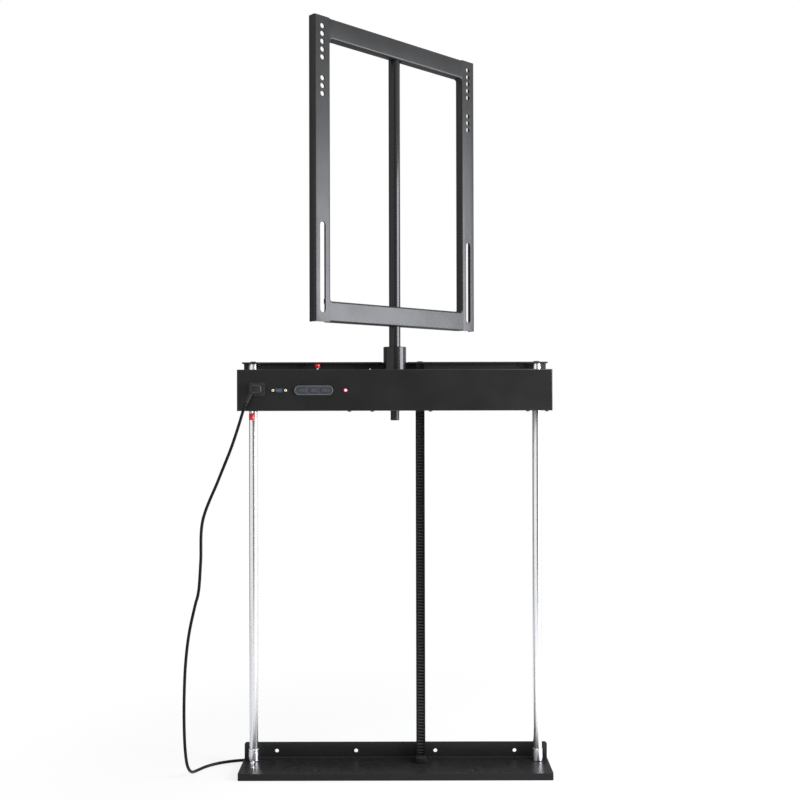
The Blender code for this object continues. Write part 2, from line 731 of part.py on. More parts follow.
# Adjustable striker that the lower limit plunger meets
def make_striker():
    low = BASE_THICKNESS + GAP
    stem = STRIKER_STEM_DIAMETER / 2
    head = STRIKER_HEAD_DIAMETER / 2
    neck = striker_top - STRIKER_HEAD_HEIGHT
    bm = bmesh.new()
    turned(bm, [(0.0, low), (stem, low), (stem, neck), (head, neck), (head, striker_top - head / 4),
                (head * 0.6, striker_top), (0.0, striker_top)], (*lower_switch, 0.0), steps=SMALL_ROUND)
    to_object("striker_screw", bm, CHROME)


# Carriage: a folded tray with an open top, notched at the back for the rods and the rail
def make_tray():
    bm = bmesh.new()
    block(bm, (-half_width, front_y, carriage_z), (half_width, carriage_back, carriage_top))
    bends = [e for e in bm.edges if all(v.co.y < 0 for v in e.verts)
             and any(v.co.z < carriage_top - GAP for v in e.verts)]
    round_edges(bm, bends, SHEET_BEND)
    tray = to_object("carriage_tray", bm, BLACK_PAINT)

    hollow = bmesh.new()
    inside = half_width - SHEET
    block(hollow, (-inside, panel_back, floor_top), (inside, carriage_back - SHEET, carriage_top + SHEET))
    cut(tray, hollow)
    window = bmesh.new()
    block(window, (-inside, carriage_back - 2 * SHEET, carriage_z + LIP_HEIGHT),
          (inside, carriage_back + SHEET, carriage_top + SHEET))
    cut(tray, window)

    notches = bmesh.new()
    below = carriage_z - SHEET
    above = carriage_z + LIP_HEIGHT + SHEET
    for x, half, front in ((-rod_x, rod_radius, ROD_SETBACK - rod_radius),
                           (rod_x, rod_radius, ROD_SETBACK - rod_radius),
                           (rail_x, rail_width / 2, rail_front)):
        reach = half + NOTCH_CLEARANCE
        block(notches, (x - reach, front - NOTCH_CLEARANCE, below),
              (x + reach, carriage_back + SHEET, above))
    rod(notches, (0.0, 0.0, 0.0), shaft_radius + RUNNING + SHAFT_BUSH_WALL + GAP, below, floor_top + GAP)
    rod(notches, (*lower_switch, 0.0), PLUNGER_STEM_DIAMETER / 2 + RUNNING, below, floor_top + GAP,
        steps=SMALL_ROUND)
    cut(tray, notches)

    panel = bmesh.new()
    low, high = front_y - SHEET, panel_back + GAP
    prism(panel, rounded(INLET_BODY[0] + 2 * GAP, INLET_BODY[1] + 2 * GAP, 0.003, (inlet_x, inlet_z)),
          "Y", low, high)
    prism(panel, dsub_outline(DSUB_SHELL[0] + 3 * GAP, DSUB_SHELL[1] + 2 * GAP), "Y", low, high)
    for i in range(len(KEY_NAMES)):
        prism(panel, key_outline(i, KEY_CLEARANCE), "Y", low, high)
    rod(panel, (led_x, 0.0, panel_z), LED_DIAMETER / 2 + GAP, low, high, "Y", SMALL_ROUND)
    cut(tray, panel)


# Guide blocks with their flanged bushes
def make_guides():
    low = floor_top + GAP
    high = low + BLOCK_HEIGHT
    outer = half_width - SHEET - GAP
    for side, word in ((-1, "left"), (1, "right")):
        centre = (side * rod_x, ROD_SETBACK, 0.0)
        ends = sorted((side * outer, side * (outer - BLOCK_WIDTH)))
        bm = bmesh.new()
        block(bm, (ends[0], ROD_SETBACK - BLOCK_FRONT, low), (ends[1], block_back, high))
        round_edges(bm, [e for e in along(bm, 2) if e.verts[0].co.y < ROD_SETBACK], 0.004)
        body = to_object(f"guide_block_{word}", bm, BLACK_PLASTIC)
        bore = bmesh.new()
        rod(bore, centre, guide_bush_radius + GAP, low - SHEET, high + SHEET)
        cut(body, bore)
        bush = bmesh.new()
        rim = high + GAP
        turned(bush, [(guide_bush_bore, low), (guide_bush_radius, low), (guide_bush_radius, rim),
                      (guide_bush_radius + BUSH_FLANGE, rim),
                      (guide_bush_radius + BUSH_FLANGE, rim + BUSH_FLANGE_THICKNESS),
                      (guide_bush_bore, rim + BUSH_FLANGE_THICKNESS)], centre)
        to_object(f"guide_bush_{word}", bush, BRONZE)


# Gear deck: a folded bridge over the swivel gears, with feet on the carriage floor
def make_deck():
    foot_z = floor_top + GAP
    foot_top = foot_z + DECK_SHEET
    left = deck_left
    right = deck_right
    outline = [(left - DECK_FOOT, foot_z), (left + DECK_SHEET, foot_z), (left + DECK_SHEET, deck_z),
               (right - DECK_SHEET, deck_z), (right - DECK_SHEET, foot_z), (right + DECK_FOOT, foot_z),
               (right + DECK_FOOT, foot_top), (right, foot_top), (right, deck_top), (left, deck_top),
               (left, foot_top), (left - DECK_FOOT, foot_top)]
    bm = bmesh.new()
    prism(bm, outline, "Y", -flange_radius, flange_radius)
    deck = to_object("gear_deck", bm, STEEL)
    holes = bmesh.new()
    rod(holes, (0.0, 0.0, 0.0), shaft_radius + GEAR_CLEARANCE, deck_z - SHEET, deck_top + SHEET)
    rod(holes, (-swivel_distance, 0.0, 0.0), SWIVEL_SHAFT_DIAMETER / 2 + RUNNING, deck_z - SHEET,
        deck_top + SHEET, steps=SMALL_ROUND)
    cut(deck, holes)


# Collar that carries the column's two bushes
def make_collar():
    low = deck_top + GAP
    bush_radius = pole_radius + RUNNING + COLUMN_BUSH_WALL
    bore = bush_radius + GAP
    shoulder = low + COLLAR_FLANGE_THICKNESS
    high = collar_top - BUSH_FLANGE_THICKNESS - GAP
    chamfer = 0.001
    bm = bmesh.new()
    turned(bm, [(bore, low), (flange_radius, low), (flange_radius, shoulder), (collar_radius, shoulder),
                (collar_radius, high), (bore, high)], (0.0, 0.0, 0.0), steps=32)
    to_object("column_collar", bm, BLACK_PAINT)
    bush_bore = pole_radius + RUNNING
    lower = bmesh.new()
    tube(lower, (0.0, 0.0, 0.0), bush_bore, bush_radius, low, low + COLUMN_BUSH_LENGTH)
    to_object("column_bush_lower", lower, BRONZE)
    upper = bmesh.new()
    turned(upper, [(bush_bore, high - COLUMN_BUSH_LENGTH), (bush_radius, high - COLUMN_BUSH_LENGTH),
                   (bush_radius, high + GAP), (collar_radius, high + GAP),
                   (collar_radius, collar_top - chamfer), (collar_radius - chamfer, collar_top),
                   (bush_bore, collar_top)], (0.0, 0.0, 0.0), steps=32)
    to_object("column_bush_upper", upper, BLACK_PAINT)
    foot = bmesh.new()
    foot_bore = shaft_radius + RUNNING
    spigot = foot_bore + SHAFT_BUSH_WALL
    rim = spigot + SHAFT_BUSH_FLANGE
    seat = floor_top + GAP
    turned(foot, [(foot_bore, carriage_z), (spigot, carriage_z), (spigot, seat), (rim, seat),
                  (rim, seat + SHAFT_BUSH_THICKNESS), (foot_bore, seat + SHAFT_BUSH_THICKNESS)],
           (0.0, 0.0, 0.0))
    to_object("shaft_bush", foot, BRONZE)


# Column: shaft, pole, gear and retaining clip turn together
def make_column(swivel_axis):
    pole_z = deck_top + GEAR_CLEARANCE
    stub = carriage_z - STUB_DROP
    clip_z = carriage_z - 2 * CLIP_THICKNESS
    groove = shaft_radius - CLIP_GROOVE
    bevel = 0.001
    shaft = bmesh.new()
    turned(shaft, [(0.0, stub), (shaft_radius - bevel, stub), (shaft_radius, stub + bevel),
                   (shaft_radius, clip_z - GAP), (groove, clip_z - GAP),
                   (groove, clip_z + CLIP_THICKNESS + GAP), (shaft_radius, clip_z + CLIP_THICKNESS + GAP),
                   (shaft_radius, pole_z + SHAFT_IN_POLE), (0.0, pole_z + SHAFT_IN_POLE)],
           (0.0, 0.0, 0.0))
    to_object("column_shaft", shaft, STEEL, swivel_axis)
    clip = bmesh.new()
    tube(clip, (0.0, 0.0, 0.0), groove + GAP, shaft_radius + CLIP_RIM, clip_z, clip_z + CLIP_THICKNESS)
    to_object("shaft_clip", clip, DARK_STEEL, swivel_axis)
    pole = bmesh.new()
    tube(pole, (0.0, 0.0, 0.0), pole_bore, pole_radius, pole_z, frame_top - RAIL_HEIGHT / 2)
    to_object("column_pole", pole, BLACK_PAINT, swivel_axis)
    gear = bmesh.new()
    prism(gear, gear_outline(COLUMN_TEETH, SWIVEL_MODULE, math.pi), "Z", gear_z, gear_top)
    wheel = to_object("column_gear", gear, NYLON, swivel_axis)
    bore = bmesh.new()
    rod(bore, (0.0, 0.0, 0.0), shaft_radius + GAP, gear_z - SHEET, gear_top + SHEET)
    cut(wheel, bore)


# Swivel drive: a vertical gear motor on the deck, its pinion in mesh with the column gear
def make_swivel_drive():
    axis = (-swivel_distance, 0.0, 0.0)
    outline = gear_outline(SWIVEL_TEETH, SWIVEL_MODULE, math.pi / SWIVEL_TEETH)
    bm = bmesh.new()
    prism(bm, shifted(outline, axis[0], 0.0), "Z", gear_z, gear_top)
    pinion = to_object("swivel_pinion", bm, BRASS, pivot=(axis[0], 0.0, gear_z))
    spindle = bmesh.new()
    rod(spindle, axis, SWIVEL_SHAFT_DIAMETER / 2, gear_top - GEAR_FACE / 2, deck_top - GAP,
        steps=SMALL_ROUND)
    add(pinion, spindle)
    body = bmesh.new()
    low = deck_top + GAP
    can = low + SWIVEL_GEARBOX_HEIGHT
    high = can + SWIVEL_CAN_HEIGHT
    can_radius = swivel_motor_radius * 0.94
    turned(body, [(0.0, low), (swivel_motor_radius, low), (swivel_motor_radius, can), (can_radius, can),
                  (can_radius, high - 0.002), (can_radius * 0.9, high), (0.0, high)],
           (swivel_motor_x, 0.0, 0.0))
    to_object("swivel_motor", body, STEEL)


# Lift drive: a gear motor lying along the carriage, its pinion in mesh with the rack
def make_lift_drive():
    outline = gear_outline(PINION_TEETH, RACK_MODULE, math.pi / PINION_TEETH)
    axis = (0.0, pinion_y, pinion_z)
    bm = bmesh.new()
    prism(bm, shifted(outline, pinion_y, pinion_z), "X", rail_x - PINION_FACE / 2, rail_x + PINION_FACE / 2)
    pinion = to_object("lift_pinion", bm, STEEL, pivot=(rail_x, pinion_y, pinion_z))
    spindle = bmesh.new()
    rod(spindle, axis, PINION_SHAFT_DIAMETER / 2, rail_x, motor_x - GAP, "X", SMALL_ROUND)
    add(pinion, spindle)

    half = GEARBOX_DIAMETER / 2 + BRACKET_MARGIN
    foot_z = floor_top + GAP
    bend = bracket_x + BRACKET_SHEET
    outline = [(bracket_x, foot_z), (bend + BRACKET_FOOT, foot_z),
               (bend + BRACKET_FOOT, foot_z + BRACKET_SHEET), (bend, foot_z + BRACKET_SHEET),
               (bend, pinion_z + half), (bracket_x, pinion_z + half)]
    bm = bmesh.new()
    prism(bm, outline, "Y", pinion_y - half, min(pinion_y + half, carriage_back - SHEET - GAP))
    bracket = to_object("lift_motor_bracket", bm, STEEL)
    hole = bmesh.new()
    rod(hole, axis, PINION_SHAFT_DIAMETER / 2 + RUNNING, bracket_x - SHEET, bend + SHEET, "X", SMALL_ROUND)
    cut(bracket, hole)

    gearbox = GEARBOX_DIAMETER / 2
    can = MOTOR_DIAMETER / 2
    shoulder = motor_x + GEARBOX_LENGTH
    end = shoulder + MOTOR_LENGTH
    bm = bmesh.new()
    turned(bm, [(0.0, motor_x), (gearbox, motor_x), (gearbox, shoulder), (can, shoulder),
                (can, end - 0.003), (can * 0.88, end), (can * 0.3, end), (can * 0.3, end + 0.005),
                (0.0, end + 0.005)], axis, "X")
    to_object("lift_motor", bm, STEEL)


# Fittings on the carriage front
def key_outline(index, growth):
    x = keypad_x + (index - (len(KEY_NAMES) - 1) / 2) * KEY_PITCH
    width, height = KEY_SIZE
    return rounded(width + 2 * growth, height + 2 * growth, KEY_CORNER + growth, (x, panel_z))


def make_keypad():
    back = front_y - GAP
    front = back - KEYPAD_THICKNESS
    bm = bmesh.new()
    prism(bm, stadium(*KEYPAD_SIZE, (keypad_x, panel_z)), "Y", front, back)
    bezel = to_object("keypad_bezel", bm, GREY_PLASTIC)
    recess = bmesh.new()
    inner = (KEYPAD_SIZE[0] - 2 * KEYPAD_RIM, KEYPAD_SIZE[1] - 2 * KEYPAD_RIM)
    prism(recess, stadium(*inner, (keypad_x, panel_z)), "Y", front - SHEET, front + KEYPAD_RECESS)
    cut(bezel, recess)
    windows = bmesh.new()
    for i in range(len(KEY_NAMES)):
        prism(windows, key_outline(i, KEY_CLEARANCE), "Y", front - SHEET, back + SHEET)
    cut(bezel, windows)
    for i, word in enumerate(KEY_NAMES):
        outline = key_outline(i, 0.0)
        middle = sum(u for u, _ in outline) / len(outline)
        crown = [((u - middle) * 0.94 + middle, (v - panel_z) * 0.90 + panel_z) for u, v in outline]
        face = front + 0.0001
        bm = bmesh.new()
        loft(bm, [[(u, face, v) for u, v in crown], [(u, face + 0.0005, v) for u, v in outline],
                  [(u, board_y - KEY_TRAVEL - GAP, v) for u, v in outline]])
        to_object(f"key_{word}", bm, DARK_GREY_PLASTIC, pivot=(middle, face, panel_z))


def make_inlet():
    bm = bmesh.new()
    prism(bm, rounded(*INLET_BODY, 0.003, (inlet_x, inlet_z)), "Y", plate_front + FITTING_PLATE / 2,
          panel_back + INLET_DEPTH)
    inlet = to_object("power_inlet", bm, BLACK_PLASTIC)
    plate = bmesh.new()
    prism(plate, rounded(*INLET_FLANGE, 0.003, (inlet_x, inlet_z)), "Y", plate_front, front_y - GAP)
    add(inlet, plate)


def dsub_outline(width, height):
    """The slanted shell of a D connector, wide side up."""
    slope = height * math.tan(math.radians(10)) / 2
    top, bottom = width / 2, width / 2 - 2 * slope
    return [(dsub_x - bottom, panel_z - height / 2), (dsub_x + bottom, panel_z - height / 2),
            (dsub_x + top, panel_z + height / 2), (dsub_x - top, panel_z + height / 2)]


def make_dsub():
    width, height = DSUB_SHELL
    shell_front = front_y - DSUB_SHELL_DEPTH
    flange_front = panel_back + GAP
    flange_back = flange_front + FITTING_PLATE
    bm = bmesh.new()
    prism(bm, rounded(*DSUB_FLANGE, 0.002, (dsub_x, panel_z)), "Y", flange_front, flange_back)
    shell = to_object("dsub_shell", bm, STEEL)
    nose = bmesh.new()
    prism(nose, dsub_outline(width, height), "Y", shell_front, flange_back - FITTING_PLATE / 2)
    add(shell, nose)
    hollow = bmesh.new()
    bore_width, bore_height = width - 2 * DSUB_WALL, height - 2 * DSUB_WALL
    prism(hollow, dsub_outline(bore_width, bore_height), "Y", shell_front - SHEET, flange_back + SHEET)
    cut(shell, hollow)
    core = bmesh.new()
    prism(core, dsub_outline(bore_width - 2 * GAP, bore_height - 2 * GAP), "Y", shell_front + 0.0012,
          board_y - GAP)
    to_object("dsub_insert", core, BLUE_PLASTIC)
    for side, word in ((-1, "left"), (1, "right")):
        x = dsub_x + side * JACKSCREW_SPACING / 2
        screw = bmesh.new()
        prism(screw, polygon(JACKSCREW_ACROSS, 6, (x, panel_z)), "Y",
              front_y - GAP - JACKSCREW_LENGTH, front_y - GAP)
        to_object(f"jackscrew_{word}", screw, BRASS)


def make_led():
    rim = LED_RIM_DIAMETER / 2
    stem = LED_DIAMETER / 2
    seat = front_y - GAP
    bm = bmesh.new()
    turned(bm, [(0.0, seat - rim * 0.55), (rim * 0.55, seat - rim * 0.45), (rim * 0.9, seat - rim * 0.2),
                (rim, seat), (stem, seat), (stem, board_y - GAP), (0.0, board_y - GAP)],
           (led_x, 0.0, panel_z), "Y", SMALL_ROUND)
    to_object("status_lamp", bm, LIT_RED)


# Electronics inside the carriage
def make_electronics():
    left = dsub_x - BOARD_MARGIN
    right = led_x + BOARD_MARGIN
    low = panel_z - BOARD_HEIGHT / 2
    high = panel_z + BOARD_HEIGHT / 2
    back = board_y + BOARD_THICKNESS
    bm = bmesh.new()
    block(bm, (left, board_y, low), (right, back, high))
    to_object("control_board", bm, BOARD_GREEN)
    wide, deep, tall = SUPPLY_SIZE
    x = half_width - SUPPLY_INSET
    y = panel_back + SUPPLY_SETBACK
    bm = bmesh.new()
    block(bm, (x, y, floor_top + GAP), (x + wide, y + deep, floor_top + GAP + tall))
    round_edges(bm, along(bm, 2), 0.002)
    to_object("power_supply", bm, STEEL)


# Limit switches with red-capped plungers, one looking up and one looking down
def make_limit_switches():
    cap = PLUNGER_CAP_DIAMETER / 2
    stem = PLUNGER_STEM_DIAMETER / 2
    hole = stem + RUNNING
    wide, deep = SWITCH_SIZE
    room = STEM_IN_SWITCH + PLUNGER_TRAVEL + GAP
    ease = 0.0015

    x, y = upper_switch
    body = bmesh.new()
    block(body, (x - wide / 2, y - deep / 2, floor_top + GAP), (x + wide / 2, y + deep / 2, upper_switch_top))
    case = to_object("upper_switch", body, BLACK_PLASTIC)
    bore = bmesh.new()
    rod(bore, (x, y, 0.0), hole, upper_switch_top - room, upper_switch_top + SHEET, steps=SMALL_ROUND)
    cut(case, bore)
    bm = bmesh.new()
    low = upper_switch_top - STEM_IN_SWITCH
    turned(bm, [(0.0, low), (stem, low), (stem, upper_cap_z), (cap, upper_cap_z),
                (cap, upper_cap_top - ease), (cap - ease, upper_cap_top), (0.0, upper_cap_top)],
           (x, y, 0.0), steps=SMALL_ROUND)
    to_object("upper_plunger", bm, RED_PLASTIC, pivot=(x, y, upper_cap_z))

    x, y = lower_switch
    body = bmesh.new()
    low = floor_top + GAP
    block(body, (x - wide / 2, y - deep / 2, low), (x + wide / 2, y + deep / 2, low + LOWER_SWITCH_HEIGHT))
    case = to_object("lower_switch", body, BLACK_PLASTIC)
    bore = bmesh.new()
    rod(bore, (x, y, 0.0), hole, low - SHEET, low + room, steps=SMALL_ROUND)
    cut(case, bore)
    bm = bmesh.new()
    high = low + STEM_IN_SWITCH
    turned(bm, [(0.0, lower_cap_z), (cap - ease, lower_cap_z), (cap, lower_cap_z + ease),
                (cap, lower_cap_top), (stem, lower_cap_top), (stem, high), (0.0, high)],
           (x, y, 0.0), steps=SMALL_ROUND)
    to_object("lower_plunger", bm, RED_PLASTIC, pivot=(x, y, lower_cap_top))


# Screen frame: two stiles and two rails of folded channel, clamped on the pole by saddles
def frame_hole_heights():
    heights = []
    z = frame_top - FRAME_HOLE_TOP
    for count in FRAME_HOLE_GROUPS:
        heights += [z - i * FRAME_HOLE_PITCH for i in range(count)]
        z = heights[-1] - FRAME_HOLE_BREAK
    return heights


def make_stiles(turned_frame):
    outline = shifted(channel(STILE_WIDTH, CHANNEL_DEPTH, FRAME_SHEET, FRAME_BEND), 0.0, frame_front)
    for side, word in ((-1, "left"), (1, "right")):
        x = side * stile_centre
        bm = bmesh.new()
        prism(bm, shifted(outline, x, 0.0), "Z", frame_z, frame_top)
        stile = to_object(f"frame_stile_{word}", bm, BLACK_PAINT, turned_frame)
        holes = bmesh.new()
        front, back = frame_front - SHEET, web_back + GAP
        for z in frame_hole_heights():
            rod(holes, (x, 0.0, z), FRAME_HOLE_DIAMETER / 2, front, back, "Y", SMALL_ROUND)
        middle = frame_z + SLOT_RISE + SLOT_LENGTH / 2
        slot = [(x - v, middle + u) for u, v in stadium(SLOT_LENGTH, SLOT_WIDTH, (0.0, 0.0), 6)]
        prism(holes, slot, "Y", front, back)
        cut(stile, holes)


def make_rails(turned_frame):
    across = channel(RAIL_HEIGHT, CHANNEL_DEPTH, FRAME_SHEET, FRAME_BEND)
    lower_z = frame_z + RAIL_HEIGHT / 2
    upper_z = frame_top - RAIL_HEIGHT / 2
    clear = pole_radius + GAP
    inner = RAIL_HEIGHT / 2 - FRAME_SHEET - GAP
    for word, z, notch_top in (("lower", lower_z, lower_z + RAIL_HEIGHT), ("upper", upper_z, upper_z)):
        outline = [(v + frame_front, u + z) for u, v in across]
        bm = bmesh.new()
        prism(bm, outline, "X", -rail_half_length, rail_half_length)
        rail = to_object(f"frame_rail_{word}", bm, BLACK_PAINT, turned_frame)
        notch = bmesh.new()
        block(notch, (-clear, -clear, z - RAIL_HEIGHT), (clear, frame_front + CHANNEL_DEPTH + SHEET, notch_top))
        cut(rail, notch)
        bm = bmesh.new()
        block(bm, (-SADDLE_WIDTH / 2, web_back + GAP, z - inner),
              (SADDLE_WIDTH / 2, clear + SADDLE_WALL, z + inner))
        round_edges(bm, [e for e in along(bm, 2) if e.verts[0].co.y > 0], 0.010, 3)
        in_bend = [e for e in along(bm, 0) if e.verts[0].co.y < web_back + 2 * GAP]
        round_edges(bm, in_bend, FRAME_BEND - FRAME_SHEET)
        saddle = to_object(f"pole_saddle_{word}", bm, DARK_STEEL, turned_frame)
        bore = bmesh.new()
        rod(bore, (0.0, 0.0, 0.0), clear, z - RAIL_HEIGHT, z + RAIL_HEIGHT)
        cut(saddle, bore)


# Mains lead: angled connector, hanging cord, stored coil with its tie, and plug
def make_connector():
    wide, tall, deep = CONNECTOR_SIZE
    low = (inlet_x - wide / 2, connector_y - deep / 2, inlet_z - tall / 2)
    high = (inlet_x + wide / 2, connector_y + deep / 2, inlet_z + tall / 2)
    bm = bmesh.new()
    block(bm, low, high)
    round_edges(bm, along(bm, 1), 0.006, 3)
    connector = to_object("cord_connector", bm, BLACK_RUBBER)
    relief = bmesh.new()
    profile = [(0.0, 0.0), (RELIEF_ROOT_DIAMETER / 2, 0.0),
               (RELIEF_ROOT_DIAMETER / 2, RELIEF_LENGTH * 0.4),
               (RELIEF_END_DIAMETER / 2, RELIEF_LENGTH), (0.0, RELIEF_LENGTH)]
    turned(relief, profile, (0.0, 0.0, 0.0), steps=SMALL_ROUND)
    lean = Vector((0.0, 0.0, 1.0)).rotation_difference(RELIEF_DIRECTION).to_matrix().to_4x4()
    place = Matrix.Translation(relief_root) @ lean
    bmesh.ops.transform(relief, matrix=place, verts=relief.verts)
    add(connector, relief)


def smooth_curve(points, step):
    """Points about a step apart on a smooth curve through the given points."""
    spots = [Vector(p) for p in points]
    spots = [2 * spots[0] - spots[1]] + spots + [2 * spots[-1] - spots[-2]]
    result = []
    for before, start, end, after in zip(spots, spots[1:], spots[2:], spots[3:]):
        count = max(1, round((end - start).length / step))
        for i in range(count):
            t = i / count
            result.append(0.5 * (2 * start + (end - before) * t
                                 + (2 * before - 5 * start + 4 * end - after) * t * t
                                 + (3 * start - before - 3 * end + after) * t ** 3))
    result.append(spots[-2])
    return result


def cord_object(name, points, sides_setting):
    curve = bpy.data.curves.new(name, "CURVE")
    curve.dimensions = "3D"
    curve.bevel_depth = CORD_DIAMETER / 2
    curve.bevel_resolution = sides_setting
    curve.use_fill_caps = True
    spline = curve.splines.new("POLY")
    spline.points.add(len(points) - 1)
    for slot, point in zip(spline.points, points):
        slot.co = (*point, 1.0)
    curve.materials.append(finish(name, *BLACK_RUBBER))
    lead = bpy.data.objects.new(name, curve)
    bpy.context.collection.objects.link(lead)


def coil_points():
    """Two layers that spiral in, climb in half a turn and spiral out again."""
    per_turn = 24
    inward, climb, outward = 2 * per_turn, per_turn // 2, per_turn + per_turn // 2
    points = []
    for i in range(inward + climb + outward + 1):
        angle = -math.pi / 2 + 2 * math.pi * i / per_turn
        radius, z = coil_outer - coil_pitch * i / per_turn, coil_z
        if i > inward:
            rise = min(1.0, (i - inward) / climb)
            radius = coil_inner
            z = coil_z + coil_pitch * rise * rise * (3 - 2 * rise)
        if i > inward + climb:
            radius = coil_inner + coil_pitch * (i - inward - climb) / per_turn
        points.append(Vector((COIL_CENTRE.x + radius * math.cos(angle),
                              COIL_CENTRE.y + radius * math.sin(angle), z)))
    lead_in = points[0] - Vector((COIL_LEAD, 0.0, 0.0))
    lead_out = points[-1].copy()
    lead_out.x = COIL_CENTRE.x + PLUG_LEAD - GAP
    return [lead_in] + points + [lead_out]


def least_gap(points, skip):
    """Least clear space between stretches of a tube that are not neighbours."""
    fine = []
    for start, end in zip(points, points[1:]):
        fine += [start.lerp(end, t / 4) for t in range(4)]
    least = min((fine[i] - fine[j]).length for i in range(len(fine)) for j in range(i + 4 * skip, len(fine)))
    return least - CORD_DIAMETER


def path_length(points):
    return sum((b - a).length for a, b in zip(points, points[1:]))


def make_cord():
    coil = coil_points()
    start = relief_end + RELIEF_DIRECTION * GAP
    straight = start + RELIEF_DIRECTION * CORD_DIAMETER
    end = coil[0] - Vector((GAP, 0.0, 0.0))
    level = end - Vector((CORD_DIAMETER, 0.0, 0.0))
    free = [start, *smooth_curve([straight, *[Vector(p) for p in CORD_ROUTE], level], CORD_STEP), end]
    cord_object("power_cord", free, 2)
    cord_object("cord_coil", coil, 1)
    print(f"cord: free {path_length(free):.3f} m, coil {path_length(coil):.3f} m, {len(free)} points")
    print(f"coil: least gap to itself {least_gap(coil, 12) * 1000:.2f} mm")

    radius = CORD_DIAMETER / 2
    inner_low = (COIL_CENTRE.x + coil_inner - radius - GAP, coil_z - radius - GAP)
    inner_high = (COIL_CENTRE.x + coil_outer + radius + GAP, coil_z + coil_pitch + radius + GAP)
    bm = bmesh.new()
    y = COIL_CENTRE.y
    block(bm, (inner_low[0] - TIE_THICKNESS, y - TIE_WIDTH / 2, inner_low[1] - TIE_THICKNESS),
          (inner_high[0] + TIE_THICKNESS, y + TIE_WIDTH / 2, inner_high[1] + TIE_THICKNESS))
    round_edges(bm, along(bm, 1), 0.002)
    tie = to_object("cord_tie", bm, BLACK_PLASTIC)
    hollow = bmesh.new()
    block(hollow, (inner_low[0], y - TIE_WIDTH, inner_low[1]), (inner_high[0], y + TIE_WIDTH, inner_high[1]))
    cut(tie, hollow)

    end = coil[-1] + Vector((GAP, 0.0, 0.0))
    face_z = PLUG_FACE[1] / 2 + GAP
    sections = []
    for share, size, z in ((0.0, PLUG_ENTRY, end.z), (0.45, PLUG_ENTRY, end.z), (0.75, PLUG_FACE, face_z),
                           (1.0, PLUG_FACE, face_z)):
        loop = rounded(*size, 0.004, (end.y, z))
        sections.append([(end.x + share * PLUG_LENGTH, u, v) for u, v in loop])
    bm = bmesh.new()
    loft(bm, sections)
    plug = to_object("mains_plug", bm, BLACK_RUBBER)
    pins = bmesh.new()
    x = end.x + PLUG_LENGTH
    root = x - PLUG_LENGTH / 8
    long, thick, tall = PLUG_BLADE
    for side in (-1, 1):
        y = end.y + side * PLUG_BLADE_SPACING / 2
        block(pins, (root, y - thick / 2, face_z), (x + long, y + thick / 2, face_z + tall))
    rod(pins, (0.0, end.y, face_z - tall), PLUG_PIN_DIAMETER / 2, root, x + long, "X", 10)
    add(plug, pins)


make_base()
make_upstand()
make_rods()
make_rack()
make_top_beam()
make_top_bolts()
make_striker()
make_tray()
make_guides()
make_deck()
make_collar()
axis_marker = empty("swivel_axis", (0.0, 0.0, 0.0))
make_column(axis_marker)
make_swivel_drive()
make_lift_drive()
make_keypad()
make_inlet()
make_dsub()
make_led()
make_electronics()
make_limit_switches()
frame_marker = empty("screen_turn", (0.0, 0.0, 0.0), axis_marker, SCREEN_TURN)
make_stiles(frame_marker)
make_rails(frame_marker)
make_connector()
make_cord()
print(f"lift travel {lift_travel:.4f} m, total height {frame_top:.4f} m, rail at x {rail_x:.4f} m")
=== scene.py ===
# %% [markdown]
# A motorised television lift, dressed for its portrait. The solids come from the packed
# model, in metres, with +Z up and the control panel facing -Y. This script keeps those
# solids where they are, gives every one a finish, and adds the fine pieces that a solid
# model leaves out.

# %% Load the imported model
import json
import math

import bmesh
import bpy
from mathutils import Matrix, Vector

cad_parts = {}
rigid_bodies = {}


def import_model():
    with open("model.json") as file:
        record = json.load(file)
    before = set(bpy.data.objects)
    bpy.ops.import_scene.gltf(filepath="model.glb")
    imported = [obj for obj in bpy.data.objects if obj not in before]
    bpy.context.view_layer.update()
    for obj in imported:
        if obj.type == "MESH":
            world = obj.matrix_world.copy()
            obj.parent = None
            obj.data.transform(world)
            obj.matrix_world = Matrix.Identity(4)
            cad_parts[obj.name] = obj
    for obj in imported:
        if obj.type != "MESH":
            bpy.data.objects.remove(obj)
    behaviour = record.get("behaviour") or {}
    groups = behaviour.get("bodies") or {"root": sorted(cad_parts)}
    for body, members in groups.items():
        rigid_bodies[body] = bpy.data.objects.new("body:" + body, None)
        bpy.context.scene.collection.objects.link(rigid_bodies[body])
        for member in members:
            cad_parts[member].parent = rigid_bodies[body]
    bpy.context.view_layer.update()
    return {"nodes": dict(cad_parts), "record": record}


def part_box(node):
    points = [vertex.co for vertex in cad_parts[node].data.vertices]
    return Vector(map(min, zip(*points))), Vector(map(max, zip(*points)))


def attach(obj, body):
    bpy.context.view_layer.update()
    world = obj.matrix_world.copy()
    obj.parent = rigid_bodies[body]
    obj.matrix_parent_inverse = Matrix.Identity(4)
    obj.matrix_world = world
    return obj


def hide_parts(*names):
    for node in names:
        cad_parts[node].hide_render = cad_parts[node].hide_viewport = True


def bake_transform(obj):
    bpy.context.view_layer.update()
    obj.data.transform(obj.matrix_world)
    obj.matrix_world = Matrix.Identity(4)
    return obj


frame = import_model()
nodes = frame["nodes"]

# %% [markdown]
# The photograph was taken from just over two metres, at the height of the carriage, with
# the camera a hair out of level. A real lens at that distance gives the right crossing of
# the near and far edges, so the camera is placed by its distance and focal length, and
# only then tipped by the fraction of a degree that the verticals show.

# %% Camera
PHOTO_WIDTH = 800
FOCAL_LENGTH_PIXELS = 1032
HORIZON_BELOW_MIDDLE = 4
SENSOR_WIDTH = 36.0
CAMERA_PLACE = (0.0105, -2.12, 0.750)
CAMERA_ROLL = math.radians(-0.13)


